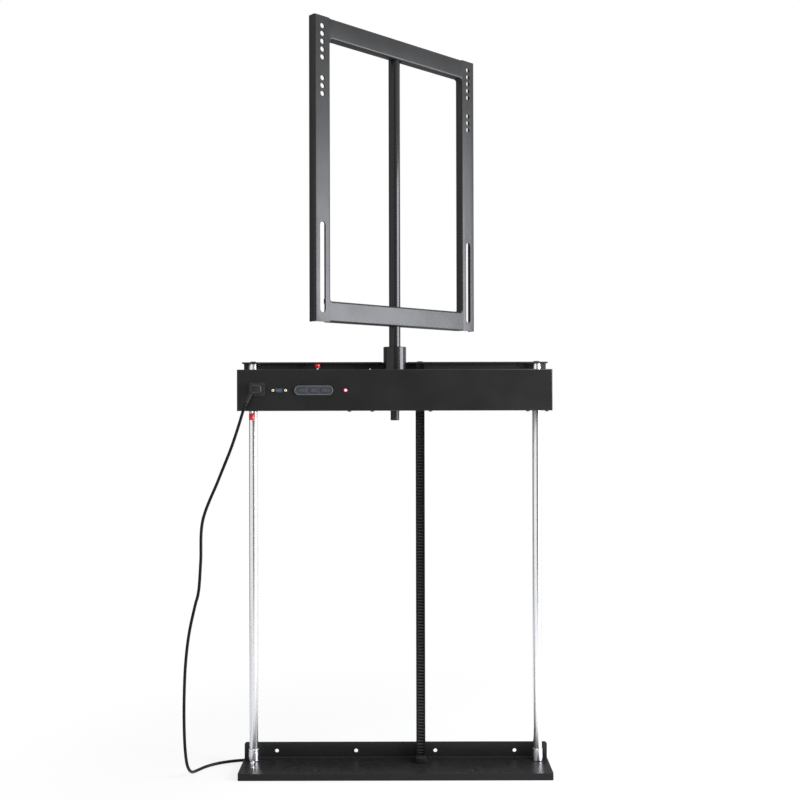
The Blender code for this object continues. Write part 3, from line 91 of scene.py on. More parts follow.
def put_in_scene(name, data):
    """Make an object of a lens, a lamp or a mesh, and link it to the scene."""
    made = bpy.data.objects.new(name, data)
    bpy.context.scene.collection.objects.link(made)
    return made


lens = bpy.data.cameras.new("portrait_camera")
lens.sensor_width = SENSOR_WIDTH
lens.lens = SENSOR_WIDTH * FOCAL_LENGTH_PIXELS / PHOTO_WIDTH
upward = math.atan(HORIZON_BELOW_MIDDLE / FOCAL_LENGTH_PIXELS)
tip = Matrix.Rotation(math.pi / 2 + upward, 4, "X") @ Matrix.Rotation(CAMERA_ROLL, 4, "Z")
camera = put_in_scene("portrait_camera", lens)
camera.matrix_world = Matrix.Translation(CAMERA_PLACE) @ tip
bpy.context.scene.camera = camera
bpy.context.scene.view_settings.view_transform = "Standard"
print(f"camera lens {lens.lens:.2f} mm")

# %% [markdown]
# Node trees get long when every node is placed by hand. One helper makes a node and sets or
# links each named input. Three short ones build on it for the steps that turn up most: a
# ramp, a sum and a mix. They give the output socket, so that a material reads as a short list.


# %% Helpers for node trees
def add_node(tree, kind, settings=None, **inputs):
    """Add a node; an input is a plain value, or an output socket to link from."""
    made = tree.nodes.new(kind)
    for key, value in (settings or {}).items():
        setattr(made, key, value)
    for key, value in inputs.items():
        socket = made.inputs[int(key[1:]) if key[1:].isdigit() else key.replace("_", " ")]
        if isinstance(value, bpy.types.NodeSocket):
            tree.links.new(value, socket)
        else:
            socket.default_value = value
    return made


def ramp(tree, value, start, end, low=0.0, high=1.0, shape="SMOOTHSTEP"):
    """Map the stretch from start to end onto low to high."""
    return add_node(tree, "ShaderNodeMapRange", {"interpolation_type": shape}, Value=value,
                    From_Min=start, From_Max=end, To_Min=low, To_Max=high).outputs[0]


def reckon(tree, operation, first, second=None, kind="ShaderNodeMath", **settings):
    """One step of arithmetic, on numbers or with VECTORS on vectors."""
    inputs = {"_0": first} if second is None else {"_0": first, "_1": second}
    made = add_node(tree, kind, {"operation": operation, **settings}, **inputs)
    return made.outputs["Value" if operation == "LENGTH" else 0]


def mix(tree, share, first, second, kind="FLOAT"):
    """Mix two numbers, or two colours with kind RGBA."""
    from_socket, to_socket, result = {"FLOAT": ("_2", "_3", 0), "RGBA": ("_6", "_7", 2)}[kind]
    made = add_node(tree, "ShaderNodeMix", {"data_type": kind}, Factor=share,
                    **{from_socket: first, to_socket: second})
    return made.outputs[result]


VECTORS = "ShaderNodeVectorMath"
print("node helpers: add_node, ramp, reckon, mix")

# %% [markdown]
# The background is plain white. Chrome mirrors whatever stands around it: each rod on this
# stand shows white sides, one thin dark line in its middle and grey rims. The dark line is
# the unlit part of the room around the camera, darkest below eye level, and the rims are
# the grey wall behind the stand, which pales towards the lamp on the right. So the world is
# white to the camera, while reflections see white in front, that wall behind and one dark
# upright patch. Everything else gets an even, weaker room light.

# %% World
ROOM_LIGHT = 0.45
WALL_IN_METAL = 0.30
WALL_REACH = (0.10, 0.50)
WALL_EDGE = 0.12
UNLIT_LOW, UNLIT_HIGH = 0.02, 0.26
UNLIT_RISE = (-0.10, 0.06)
UNLIT_MIDDLE = 0.14
UNLIT_REACH = (0.24, 0.44)
WHITE = (1.0, 1.0, 1.0, 1.0)

world = bpy.data.worlds.new("white_studio")
world.use_nodes = True
bpy.context.scene.world = world
sky = world.node_tree
sky.nodes.clear()
ray = add_node(sky, "ShaderNodeLightPath").outputs
towards = add_node(sky, "ShaderNodeTexCoord").outputs["Generated"]
way = add_node(sky, "ShaderNodeSeparateXYZ", _0=towards).outputs
wall = ramp(sky, way["X"], *WALL_REACH, WALL_IN_METAL, 1.0)
around = ramp(sky, way["Y"], -WALL_EDGE, WALL_EDGE, 1.0, wall)
aside = reckon(sky, "ABSOLUTE", reckon(sky, "SUBTRACT", way["X"], UNLIT_MIDDLE))
in_front = reckon(sky, "LESS_THAN", way["Y"], 0.0)
patch = reckon(sky, "MULTIPLY", ramp(sky, aside, *UNLIT_REACH, 1.0, 0.0), in_front)
unlit = ramp(sky, way["Z"], *UNLIT_RISE, UNLIT_LOW, UNLIT_HIGH)
mirrored = mix(sky, patch, around, unlit)
lit = mix(sky, ray["Is Glossy Ray"], ROOM_LIGHT, mirrored)
shown = reckon(sky, "ADD", ray["Is Camera Ray"], ray["Is Transmission Ray"], use_clamp=True)
backdrop = add_node(sky, "ShaderNodeBackground", Color=WHITE, Strength=mix(sky, shown, lit, 1.0))
add_node(sky, "ShaderNodeOutputWorld", Surface=backdrop.outputs[0])
print(f"world: white backdrop, room light {ROOM_LIGHT}")

# %% [markdown]
# The black paint tells where the lamps stood. The screen frame looks to the right and is
# pale at its lower rail and dark at its upper one, and the round column carries one crisp
# bright band right of its middle. So the main lamp was an upright soft box on the right, at
# the height of the carriage. A box overhead fills the faces that look up. The carriage and
# the base grow a little paler towards the right, while the chrome mirrors no second lamp: a
# small box close to the right end does that, and it is kept out of the mirrors.


# %% Lamps
def soft_box(name, place, aim, size, watts, colour=(1.0, 1.0, 1.0)):
    """A rectangular lamp that looks from its place to its aim."""
    lamp = bpy.data.lights.new(name, "AREA")
    lamp.shape = "RECTANGLE"
    lamp.size, lamp.size_y = size
    lamp.energy = watts
    lamp.color = colour
    holder = put_in_scene(name, lamp)
    holder.location = place
    look = Vector(aim) - Vector(place)
    holder.rotation_euler = look.to_track_quat("-Z", "Y").to_euler()
    return holder


COOL_WHITE = (0.90, 0.93, 1.0)

soft_box("right_box", place=(2.20, -0.72, 0.93), aim=(0.0, -0.56, 0.93), size=(1.56, 1.64),
         watts=97, colour=COOL_WHITE)
soft_box("top_box", place=(0.0, -0.60, 3.00), aim=(0.0, 0.0, 0.60), size=(2.2, 1.6), watts=26)
near_box = soft_box("near_box", place=(0.75, -0.50, 0.78), aim=(0.22, -0.16, 0.76),
                    size=(0.35, 0.35), watts=8)
near_box.visible_glossy = False
print("lamps: right, top and near soft boxes")

# %% [markdown]
# A round floor holds the shadow. To the camera it grows brighter outward until it is as
# white as the backdrop, so that no edge shows; to everything else it is plain pale paint.

# %% Floor
FLOOR_RADIUS, FLOOR_SIDES = 1.25, 96
FLOOR_DROP = 0.0004
FLOOR_PALE = (0.82, 0.82, 0.82, 1.0)
FLOOR_FADE = (0.30, 0.95)
FLOOR_GLOW = (0.80, 1.0)

bm = bmesh.new()
bmesh.ops.create_circle(bm, cap_ends=True, segments=FLOOR_SIDES, radius=FLOOR_RADIUS)
floor_mesh = bpy.data.meshes.new("studio_floor")
bm.to_mesh(floor_mesh)
bm.free()
floor = put_in_scene("studio_floor", floor_mesh)
floor.location.z = -FLOOR_DROP

floor_paint = bpy.data.materials.new("studio_floor")
floor_paint.use_nodes = True
tree = floor_paint.node_tree
tree.nodes.clear()
matt = add_node(tree, "ShaderNodeBsdfDiffuse", Color=FLOOR_PALE)
glow = add_node(tree, "ShaderNodeEmission", Strength=1.0)
spot = add_node(tree, "ShaderNodeTexCoord").outputs["Object"]
to_camera = add_node(tree, "ShaderNodeLightPath").outputs["Is Camera Ray"]
outward = ramp(tree, reckon(tree, "LENGTH", spot, kind=VECTORS), *FLOOR_FADE, *FLOOR_GLOW)
both = add_node(tree, "ShaderNodeMixShader", _0=reckon(tree, "MULTIPLY", outward, to_camera),
                _1=matt.outputs[0], _2=glow.outputs[0])
add_node(tree, "ShaderNodeOutputMaterial", Surface=both.outputs[0])
floor_mesh.materials.append(floor_paint)

# %% [markdown]
# Three effects turn up on many finishes. Coating grain is the fine orange peel of powder
# paint and moulded plastic, with slow changes in gloss. Drawn lines are the fine parallel
# scratches of ground or drawn metal. Settled dust lies on faces that look up. Each is a
# node group, built once, so that every finish can use it at its own scale.

# %% Shared effects
NOISE_RANGE = (0.3, 0.7)
SPECK_RANGE = (0.42, 0.75)
DUST_FROM_LEAN = 0.6
ORIGIN = (0.0, 0.0, 0.0)


def effect_group(name, inputs, outputs):
    """An empty group; an input of three numbers is a vector, any other a plain number."""
    tree = bpy.data.node_groups.new(name, "ShaderNodeTree")
    for label, value in inputs.items():
        kind = "NodeSocketVector" if isinstance(value, tuple) else "NodeSocketFloat"
        tree.interface.new_socket(label, in_out="INPUT", socket_type=kind).default_value = value
    for label in outputs:
        tree.interface.new_socket(label, in_out="OUTPUT", socket_type="NodeSocketFloat")
    return tree, tree.nodes.new("NodeGroupInput").outputs, tree.nodes.new("NodeGroupOutput").inputs


def noise(tree, place, **inputs):
    """A cloudy pattern, with one value for each place."""
    return add_node(tree, "ShaderNodeTexNoise", Vector=place, **inputs).outputs[0]


def surface_effect(tree, given, result, height, gloss, mottle):
    """Put out a relief, a roughness between Low and High, and a slow change of colour."""
    rough = ramp(tree, gloss, *NOISE_RANGE, given["Low"], given["High"], "LINEAR")
    for label, source in (("Height", height), ("Roughness", rough), ("Mottle", mottle)):
        tree.links.new(source, result[label])
    return tree


def coating_grain():
    """Fine orange peel, with slow changes in gloss."""
    tree, given, result = effect_group(
        "coating_grain",
        {"Vector": ORIGIN, "Scale": 900.0, "Gloss Scale": 14.0, "Low": 0.35, "High": 0.50},
        ("Height", "Roughness", "Mottle"))
    fine = noise(tree, given["Vector"], Scale=given["Scale"], Detail=2.0)
    slow = noise(tree, given["Vector"], Scale=given["Gloss Scale"], Detail=4.0, Roughness=0.6)
    return surface_effect(tree, given, result, height=fine, gloss=slow, mottle=slow)


def drawn_lines():
    """Fine parallel scratches."""
    tree, given, result = effect_group(
        "drawn_lines",
        {"Vector": ORIGIN, "Stretch": (900.0, 900.0, 12.0), "Low": 0.10, "High": 0.25},
        ("Height", "Roughness", "Mottle"))
    pulled = reckon(tree, "MULTIPLY", given["Vector"], given["Stretch"], kind=VECTORS)
    lines = noise(tree, pulled, Scale=1.0, Detail=3.0)
    slow = noise(tree, given["Vector"], Scale=22.0, Detail=3.0)
    return surface_effect(tree, given, result, height=lines, gloss=lines, mottle=slow)


def settled_dust():
    """Specks on faces that look up."""
    tree, given, result = effect_group("settled_dust", {"Vector": ORIGIN, "Amount": 0.3}, ("Dust",))
    normal = add_node(tree, "ShaderNodeNewGeometry").outputs["Normal"]
    lean = add_node(tree, "ShaderNodeSeparateXYZ", _0=normal).outputs["Z"]
    lying = ramp(tree, lean, DUST_FROM_LEAN, 1.0, shape="LINEAR")
    specks = noise(tree, given["Vector"], Scale=160.0, Detail=6.0, Roughness=0.7)
    patches = ramp(tree, specks, *SPECK_RANGE, shape="LINEAR")
    mask = reckon(tree, "MULTIPLY", reckon(tree, "MULTIPLY", lying, patches), given["Amount"])
    tree.links.new(mask, result["Dust"])
    return tree


EFFECTS = {"grain": coating_grain(), "lines": drawn_lines(), "dust": settled_dust()}
print("effects:", ", ".join(EFFECTS))

# %% [markdown]
# A finish is one colour that drifts a little to a second one, a roughness that changes
# over the surface, a small relief and, on the paint, a trace of dust. What is the same all
# over, such as the metallic value, sits on the shader itself.

# %% A maker for finishes
DUST_COLOUR = (0.30, 0.29, 0.28, 1.0)
RELIEF_DEPTH = 0.0002
SPECULAR = "Specular IOR Level"
FINISH = {}


def make_finish(name, colour, drift, rough, effect="grain", metallic=0.0, relief=0.1, dust=0.0,
                fixed=None, **scales):
    """Keep a material with coating grain or drawn lines; scales go to the effect's inputs."""
    material = bpy.data.materials.new(name)
    material.use_nodes = True
    tree = material.node_tree
    shader = tree.nodes["Principled BSDF"]
    for label, value in {"Metallic": metallic, **(fixed or {})}.items():
        shader.inputs[label].default_value = value
    spot = add_node(tree, "ShaderNodeTexCoord").outputs["Object"]
    surface = add_node(tree, "ShaderNodeGroup", {"node_tree": EFFECTS[effect]}, Vector=spot,
                       Low=rough[0], High=rough[1], **scales).outputs
    tint = mix(tree, surface["Mottle"], (*colour, 1.0), (*drift, 1.0), "RGBA")
    if dust:
        layer = add_node(tree, "ShaderNodeGroup", {"node_tree": EFFECTS["dust"]}, Vector=spot,
                         Amount=dust)
        tint = mix(tree, layer.outputs["Dust"], tint, DUST_COLOUR, "RGBA")
    bump = add_node(tree, "ShaderNodeBump", Strength=relief, Distance=RELIEF_DEPTH,
                    Height=surface["Height"])
    tree.links.new(tint, shader.inputs["Base Color"])
    tree.links.new(surface["Roughness"], shader.inputs["Roughness"])
    tree.links.new(bump.outputs[0], shader.inputs["Normal"])
    FINISH[name] = material


print("finishes can be made")

# %% [markdown]
# Most of the stand is under black powder paint. It isn't one black: the beam over the
# carriage is painted greyer, as painted light on its web, which lies in shade under its
# flange; the base and the rack's rail are blacker, and the column is glossier.

# %% Paints
PAINT = {"rough": (0.28, 0.38), "relief": 0.20, "Scale": 1400.0}

make_finish("black_paint", (0.0090, 0.0090, 0.00905), (0.0130, 0.0130, 0.01305), dust=0.08,
            fixed={SPECULAR: 0.36}, **PAINT)
# Painted light: the beam's paint is paler than the carriage's, so that its shaded web reads
# brighter.
make_finish("beam_painted_light", (0.030, 0.030, 0.0305), (0.040, 0.040, 0.0405), dust=0.12,
            fixed={SPECULAR: 0.36}, **PAINT)
make_finish("base_paint", (0.0065, 0.0065, 0.0070), (0.0095, 0.0095, 0.0100), dust=0.07,
            fixed={SPECULAR: 0.22}, **PAINT)
make_finish("column_gloss", (0.008, 0.008, 0.009), (0.011, 0.011, 0.012), (0.11, 0.16),
            relief=0.05, Scale=900.0, fixed={SPECULAR: 0.40})
make_finish("rail_paint", (0.005, 0.005, 0.0055), (0.008, 0.008, 0.0085), (0.38, 0.50),
            relief=0.20, Scale=1400.0, fixed={SPECULAR: 0.15})
print(len(FINISH), "paints")

# %% [markdown]
# The metals differ in how they were worked, so each has its scratches stretched its own
# way. The chrome was ground round its length, so what it mirrors is drawn out along the
# rod: that is its anisotropy.

# %% Metals
LINES_ALONG_X = (40.0, 900.0, 900.0)
LINES_ALONG_Y = (900.0, 60.0, 900.0)

make_finish("chrome", (0.84, 0.85, 0.86), (0.89, 0.89, 0.90), (0.24, 0.27), "lines", 1.0,
            relief=0.003, Stretch=(1500.0, 1500.0, 60.0),
            fixed={"Anisotropic": 0.85, "Anisotropic Rotation": 0.25})
make_finish("dark_steel", (0.035, 0.035, 0.037), (0.06, 0.06, 0.062), (0.35, 0.55), "lines", 0.6,
            relief=0.2, Stretch=LINES_ALONG_X)
make_finish("rack_steel", (0.050, 0.050, 0.052), (0.076, 0.076, 0.078), (0.35, 0.50), "lines", 0.7,
            relief=0.2, Stretch=LINES_ALONG_X)
make_finish("shaft_steel", (0.012, 0.012, 0.013), (0.024, 0.024, 0.025), (0.24, 0.36), "lines",
            relief=0.1, Stretch=(900.0, 900.0, 40.0), fixed={SPECULAR: 0.30})
make_finish("plated_steel", (0.50, 0.51, 0.52), (0.60, 0.61, 0.60), (0.25, 0.45), "lines", 1.0,
            relief=0.12, Stretch=(30.0, 800.0, 800.0))
make_finish("shell_steel", (0.10, 0.12, 0.14), (0.15, 0.17, 0.19), (0.40, 0.55), "lines", 1.0,
            relief=0.1, Stretch=(60.0, 900.0, 900.0))
make_finish("bronze", (0.50, 0.32, 0.15), (0.60, 0.40, 0.20), (0.35, 0.55), metallic=1.0,
            relief=0.2, Scale=1100.0)
make_finish("brass", (0.80, 0.60, 0.26), (0.88, 0.70, 0.34), (0.16, 0.30), "lines", 1.0,
            relief=0.1, Stretch=LINES_ALONG_Y)
make_finish("bright_brass", (0.97, 0.86, 0.60), (1.0, 0.92, 0.70), (0.34, 0.46), "lines", 0.25,
            relief=0.06, Stretch=LINES_ALONG_Y)
print(len(FINISH), "finishes with the metals")

# %% [markdown]
# Moulded plastics have a matt grain, and rubber a softer one. The sheath of the mains lead
# is smoother and blacker than the rubber of its two ends. Some finishes are only shades of
# another one.

# %% Plastics and rubber
make_finish("white_plastic", (0.74, 0.73, 0.68), (0.80, 0.79, 0.74), (0.40, 0.55), Scale=700.0)
make_finish("black_plastic", (0.012, 0.012, 0.012), (0.019, 0.019, 0.019), (0.45, 0.62),
            relief=0.3, dust=0.15, Scale=1200.0)
make_finish("grey_plastic", (0.036, 0.041, 0.046), (0.048, 0.054, 0.060), (0.42, 0.58),
            relief=0.3, Scale=1600.0)
make_finish("rim_plastic", (0.095, 0.104, 0.113), (0.118, 0.127, 0.136), (0.36, 0.50),
            relief=0.3, Scale=1600.0)
make_finish("key_plastic", (0.032, 0.037, 0.043), (0.043, 0.049, 0.055), (0.45, 0.60),
            relief=0.3, Scale=1800.0)
make_finish("key_print", (0.060, 0.066, 0.076), (0.074, 0.081, 0.092), (0.50, 0.65), Scale=1800.0)
make_finish("red_plastic", (0.58, 0.012, 0.018), (0.68, 0.020, 0.026), (0.22, 0.34),
            relief=0.06, Scale=700.0, fixed={"Coat Weight": 0.3})
make_finish("blue_plastic", (0.052, 0.094, 0.116), (0.070, 0.120, 0.144), (0.45, 0.60),
            relief=0.15, Scale=1500.0)
make_finish("board_green", (0.015, 0.13, 0.05), (0.025, 0.19, 0.08), (0.30, 0.45),
            relief=0.2, Scale=500.0)
make_finish("black_rubber", (0.008, 0.008, 0.008), (0.013, 0.013, 0.013), (0.36, 0.48),
            relief=0.25, dust=0.1, Scale=900.0)
make_finish("lead_sheath", (0.004, 0.004, 0.004), (0.007, 0.007, 0.007), (0.24, 0.34),
            relief=0.15, Scale=900.0, fixed={SPECULAR: 0.16})
print(len(FINISH), "finishes in all")

# %% [markdown]
# The status lamp is a clear red lens over a lit chip: almost white in the middle, red
# round the rim. Distance from its own axis gives the blend.

# %% Lamp finish
LENS_BRIGHT, LENS_RED = (1.0, 0.50, 0.62, 1.0), (0.52, 0.015, 0.06, 1.0)
LENS_FADE = (0.0008, 0.0030)
LENS_ROUGHNESS, LENS_GLOW = 0.15, 1.6
ACROSS_LENS = (1.0, 0.0, 1.0)


def middle_of(node):
    """The middle of a solid's box."""
    low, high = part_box(node)
    return (low + high) / 2


lamp_middle = middle_of("status_lamp")
FINISH["red_lens"] = bpy.data.materials.new("red_lens")
FINISH["red_lens"].use_nodes = True
tree = FINISH["red_lens"].node_tree
shader = tree.nodes["Principled BSDF"].inputs
shader["Roughness"].default_value = LENS_ROUGHNESS
shader["Emission Strength"].default_value = LENS_GLOW
spot = add_node(tree, "ShaderNodeTexCoord").outputs["Object"]
offset = reckon(tree, "SUBTRACT", spot, tuple(lamp_middle), kind=VECTORS)
sideways = reckon(tree, "MULTIPLY", offset, ACROSS_LENS, kind=VECTORS)
rim = ramp(tree, reckon(tree, "LENGTH", sideways, kind=VECTORS), *LENS_FADE)
lit = mix(tree, rim, LENS_BRIGHT, LENS_RED, "RGBA")
for label in ("Base Color", "Emission Color"):
    tree.links.new(lit, shader[label])
print("lamp finish at", [round(v, 4) for v in lamp_middle])

# %% [markdown]
# Every solid takes the finish of its material slot in the record. Round faces are shaded
# smooth up to an angle, so that folds and edges stay crisp. A few solids then get a shade of
# their own: the beam is painted a little greyer than the carriage, as painted light on its
# shaded web, the base and the rack's rail are blacker, and the connector's shell is dull.

# %% Dress the solids
SMOOTH_UP_TO = math.radians(32)
OWN_SHADE = {"lift_rack": "rack_steel", "rack_channel": "rail_paint", "top_beam": "beam_painted_light",
             "base_plate": "base_paint", "dsub_shell": "shell_steel"}

for entry in frame["record"]["subparts"]:
    solid = nodes[entry["node"]].data
    solid.materials.clear()
    solid.materials.append(FINISH[OWN_SHADE.get(entry["node"], entry["material_slot"])])
    solid.shade_smooth()
    solid.set_sharp_from_angle(angle=SMOOTH_UP_TO)

# %% [markdown]
# Real sheet metal has no knife edges: a fine rounding along every fold and cut is what
# catches the light. A weld modifier joins the corner points that the model file keeps
# apart, and a bevel modifier then rounds the edges without touching the mesh itself.

# %% Eased edges
JOIN_WITHIN = 0.00002
EASE_OVER = math.radians(50)
EASE_SEGMENTS = 2
LARGE_FACES_FIRST = 100
EASED = {
    0.0005: ("base_plate", "base_upstand", "guide_block_left", "guide_block_right",
             "power_supply", "upper_switch", "lower_switch"),
    0.0004: ("top_beam", "carriage_tray", "rack_foot", "power_inlet", "pole_saddle_lower",
             "pole_saddle_upper"),
    0.0003: ("frame_stile_left", "frame_stile_right", "frame_rail_lower", "frame_rail_upper",
             "gear_deck", "lift_motor_bracket", "rack_channel", "key_down", "key_stop", "key_up"),
}

for width, names in EASED.items():
    for name in names:
        steps = nodes[name].modifiers
        steps.new("joined_corners", "WELD").merge_threshold = JOIN_WITHIN
        ease = steps.new("eased_edges", "BEVEL")
        ease.width = width
        ease.segments = EASE_SEGMENTS
        ease.limit_method = "ANGLE"
        ease.angle_limit = EASE_OVER
        ease.use_clamp_overlap = False
        ease.harden_normals = True
        level = steps.new("level_shading", "WEIGHTED_NORMAL")
        level.keep_sharp = True
        level.weight = LARGE_FACES_FIRST
print("eased", sum(len(names) for names in EASED.values()), "solids")

# %% [markdown]
# The mains lead hangs from the angled connector, rests its spare length behind the base
# in a tied coil, and ends in a plug. It is one tube along one path: a smooth curve through
# the places where it hangs, then a spiral that winds in on the floor and out again on top.

# %% Route of the mains lead
CORD_DIAMETER = 0.006
CORD_EXIT = Vector((-0.2942, -0.0750, 0.7525))
CORD_FALL = Vector((-0.400, 0.0, -0.9165))
CORD_PLACES = (
    (-0.3007, -0.0745, 0.7361), (-0.3124, -0.0745, 0.6985), (-0.3261, -0.0745, 0.6588),
    (-0.3500, -0.0745, 0.5994), (-0.3808, -0.0745, 0.5201), (-0.3849, -0.0745, 0.4408),
    (-0.3891, -0.0745, 0.3813), (-0.3968, -0.0745, 0.3496), (-0.4085, -0.0745, 0.2950),
    (-0.4155, -0.0740, 0.2350), (-0.4185, -0.0730, 0.1700), (-0.4190, -0.0710, 0.1100),
    (-0.4180, -0.0660, 0.0620), (-0.4160, -0.0540, 0.0270), (-0.4120, -0.0340, 0.0085),
    (-0.4050, -0.0120, 0.0036), (-0.3910, 0.0110, 0.0033), (-0.3680, 0.0310, 0.0033),
    (-0.3360, 0.0440, 0.0036), (-0.2980, 0.0478, 0.0042),
)
CORD_STEP = 0.008
COIL_MIDDLE = Vector((-0.190, 0.0866))
COIL_MEAN = 0.031
COIL_STEP = 0.0078
COIL_HEIGHT = 0.0045
COIL_LEAD = 0.010
COIL_POINTS = 36
PLUG_START = 0.034


def smooth_through(places, step):
    """A smooth curve through places, with a point about every step."""
    spots = [Vector(p) for p in places]
    spots = [2 * spots[0] - spots[1]] + spots + [2 * spots[-1] - spots[-2]]
    path = []
    for before, start, end, after in zip(spots, spots[1:], spots[2:], spots[3:]):
        count = max(1, round((end - start).length / step))
        for i in range(count):
            t = i / count
            path.append(0.5 * (2 * start + (end - before) * t
                               + (2 * before - 5 * start + 4 * end - after) * t * t
                               + (3 * start - before - 3 * end + after) * t ** 3))
    path.append(spots[-2])
    return path


def coil_path(per_turn):
    """Two turns inward on the floor, half a turn that climbs, one and a half outward on top."""
    inward, climb, outward = 2 * per_turn, per_turn // 2, per_turn + per_turn // 2
    path = []
    for i in range(inward + climb + outward + 1):
        angle = -math.pi / 2 + 2 * math.pi * i / per_turn
        radius, height = COIL_MEAN + COIL_STEP - COIL_STEP * i / per_turn, COIL_HEIGHT
        if i > inward:
            rise = min(1.0, (i - inward) / climb)
            radius = COIL_MEAN - COIL_STEP
            height = COIL_HEIGHT + COIL_STEP * rise * rise * (3 - 2 * rise)
        if i > inward + climb:
            radius = COIL_MEAN - COIL_STEP + COIL_STEP * (i - inward - climb) / per_turn
        path.append(Vector((COIL_MIDDLE.x + radius * math.cos(angle),
                            COIL_MIDDLE.y + radius * math.sin(angle), height)))
    return path


coil = coil_path(COIL_POINTS)
lead_in = coil[0] - Vector((COIL_LEAD, 0.0, 0.0))
lead_out = Vector((COIL_MIDDLE.x + PLUG_START, coil[-1].y, coil[-1].z))
first_place = CORD_EXIT + CORD_FALL * CORD_DIAMETER
hang = smooth_through([first_place, *CORD_PLACES, lead_in], CORD_STEP)
cord_path = [CORD_EXIT, *hang, *coil, lead_out]
cord_run = sum((b - a).length for a, b in zip(cord_path, cord_path[1:]))
print(f"mains lead: {cord_run:.3f} m on {len(cord_path)} points")

# %% [markdown]
# The fine pieces need a few makers. The first gives a finished mesh its finish, and settle
# gives the piece its body and, where it stands for a solid, hides that solid.


# %% From mesh to piece
def as_piece(name, bm, finish, sharp=None):
    """Turn a bmesh into a smooth piece; edges over an angle in degrees stay sharp."""
    bmesh.ops.recalc_face_normals(bm, faces=bm.faces)
    mesh = bpy.data.meshes.new(name)
    bm.to_mesh(mesh)
    bm.free()
    mesh.materials.append(FINISH[finish])
    mesh.shade_smooth()
    if sharp:
        mesh.set_sharp_from_angle(angle=math.radians(sharp))
    return put_in_scene(name, mesh)


def settle(name, bm, finish, body, *replaced, sharp=35):
    """Make a piece that rides on a body and may stand for solids."""
    piece = as_piece(name, bm, finish, sharp)
    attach(piece, body)
    if replaced:
        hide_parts(*replaced)
    return piece


print("makers: as_piece, settle")

# %% [markdown]
# Round pieces are turned from a profile, as on a lathe. The chrome ones also get a map that
# goes once round them and along their profile.


# %% The lathe
def turn(bm, profile, place=Matrix.Identity(4), steps=48, mapped=False):
    """Turn (radius, height) pairs about Z; a profile off the axis closes into a ring.

    A mapped piece gets a map that goes once round it, and along its profile.
    """
    angles = [2 * math.pi * i / steps for i in range(steps)]
    rows = []
    for radius, height in profile:
        if radius == 0.0:
            rows.append([bm.verts.new(place @ Vector((0.0, 0.0, height)))] * steps)
            continue
        ring = [Vector((radius * math.cos(a), radius * math.sin(a), height)) for a in angles]
        rows.append([bm.verts.new(place @ corner) for corner in ring])
    if profile[0][0] > 0.0:
        rows.append(rows[0])
    lengths = [0.0]
    for (radius, height), (after, rise) in zip(profile, [*profile[1:], profile[0]]):
        lengths.append(lengths[-1] + math.hypot(after - radius, rise - height))
    total = lengths[len(rows) - 1]
    spread = bm.loops.layers.uv.new("OFBake") if mapped else None
    for row, (first, second) in enumerate(zip(rows, rows[1:])):
        low, high = lengths[row] / total, lengths[row + 1] / total
        for i in range(steps):
            j = (i + 1) % steps
            left, right = i / steps, (i + 1) / steps
            corners = {first[i]: (left, low), first[j]: (right, low), second[j]: (right, high),
                       second[i]: (left, high)}
            if len(corners) > 2:
                face = bm.faces.new(corners)
                for corner in face.loops if mapped else ():
                    corner[spread].uv = corners[corner.vert]


def turned(name, profile, finish, body, *replaced, **lathe):
    """A piece that is turned in one go."""
    bm = bmesh.new()
    turn(bm, profile, **lathe)
    return settle(name, bm, finish, body, *replaced)


print("makers: turn, turned")

# %% [markdown]
# Pieces that aren't round are skinned over a row of loops. Moulded ones have rectangles with
# round corners for their sections, so that is the first loop needed.


# %% Loops and skins
def skin(bm, loops, ring=False):
    """Join loops of equal length with faces; the ends are capped, or joined in a ring."""
    rows = [[bm.verts.new(spot) for spot in loop] for loop in loops]
    pairs = list(zip(rows, rows[1:])) + ([(rows[-1], rows[0])] if ring else [])
    for first, second in pairs:
        for i in range(len(first)):
            j = (i + 1) % len(first)
            bm.faces.new((first[i], first[j], second[j], second[i]))
    if not ring:
        bm.faces.new(reversed(rows[0]))
        bm.faces.new(rows[-1])


def skinned(name, loops, finish, body, *replaced, ring=False, sharp=35):
    """A piece that is skinned in one go."""
    bm = bmesh.new()
    skin(bm, loops, ring)
    return settle(name, bm, finish, body, *replaced, sharp=sharp)


def rounded_loop(width, height, corner, steps=6):
    """A rectangle with round corners, as (across, up) pairs."""
    spots = []
    for number, (right, top) in enumerate(((1, 1), (-1, 1), (-1, -1), (1, -1))):
        for i in range(steps + 1):
            a = math.pi / 2 * (number + i / steps)
            spots.append((right * (width / 2 - corner) + corner * math.cos(a),
                          top * (height / 2 - corner) + corner * math.sin(a)))
    return spots


print("makers: skin, skinned, rounded_loop")

# %% [markdown]
# The lead's upper end is a moulded connector: a rounded block with a ribbed sleeve, which
# lets the lead bend gently. The block is skinned over loops that shrink towards its front,
# and the sleeve is turned, rib by rib, along the direction in which the lead leaves.

# %% Connector
CONNECTOR_WIDTH, CONNECTOR_HEIGHT, CONNECTOR_CORNER = 0.024, 0.018, 0.0062
CONNECTOR_SECTIONS = ((0.95, 0.0), (1.0, 0.0008), (1.0, 0.0155), (0.97, 0.0180), (0.90, 0.0194),
                      (0.76, 0.0200), (0.70, 0.0196), (0.60, 0.0194))
SLEEVE_LENGTH, SLEEVE_PLAIN, SLEEVE_LIP = 0.030, 0.0085, 0.0296
SLEEVE_RADII = (0.0050, 0.0039)
SLEEVE_GAP = 0.0003
RIBS, RIB_START, RIB_PITCH = 8, 0.0090, 0.0025
RIB_PROFILE = ((0.84, 0.0), (0.84, 0.0009), (1.0, 0.0012), (1.0, 0.0022))

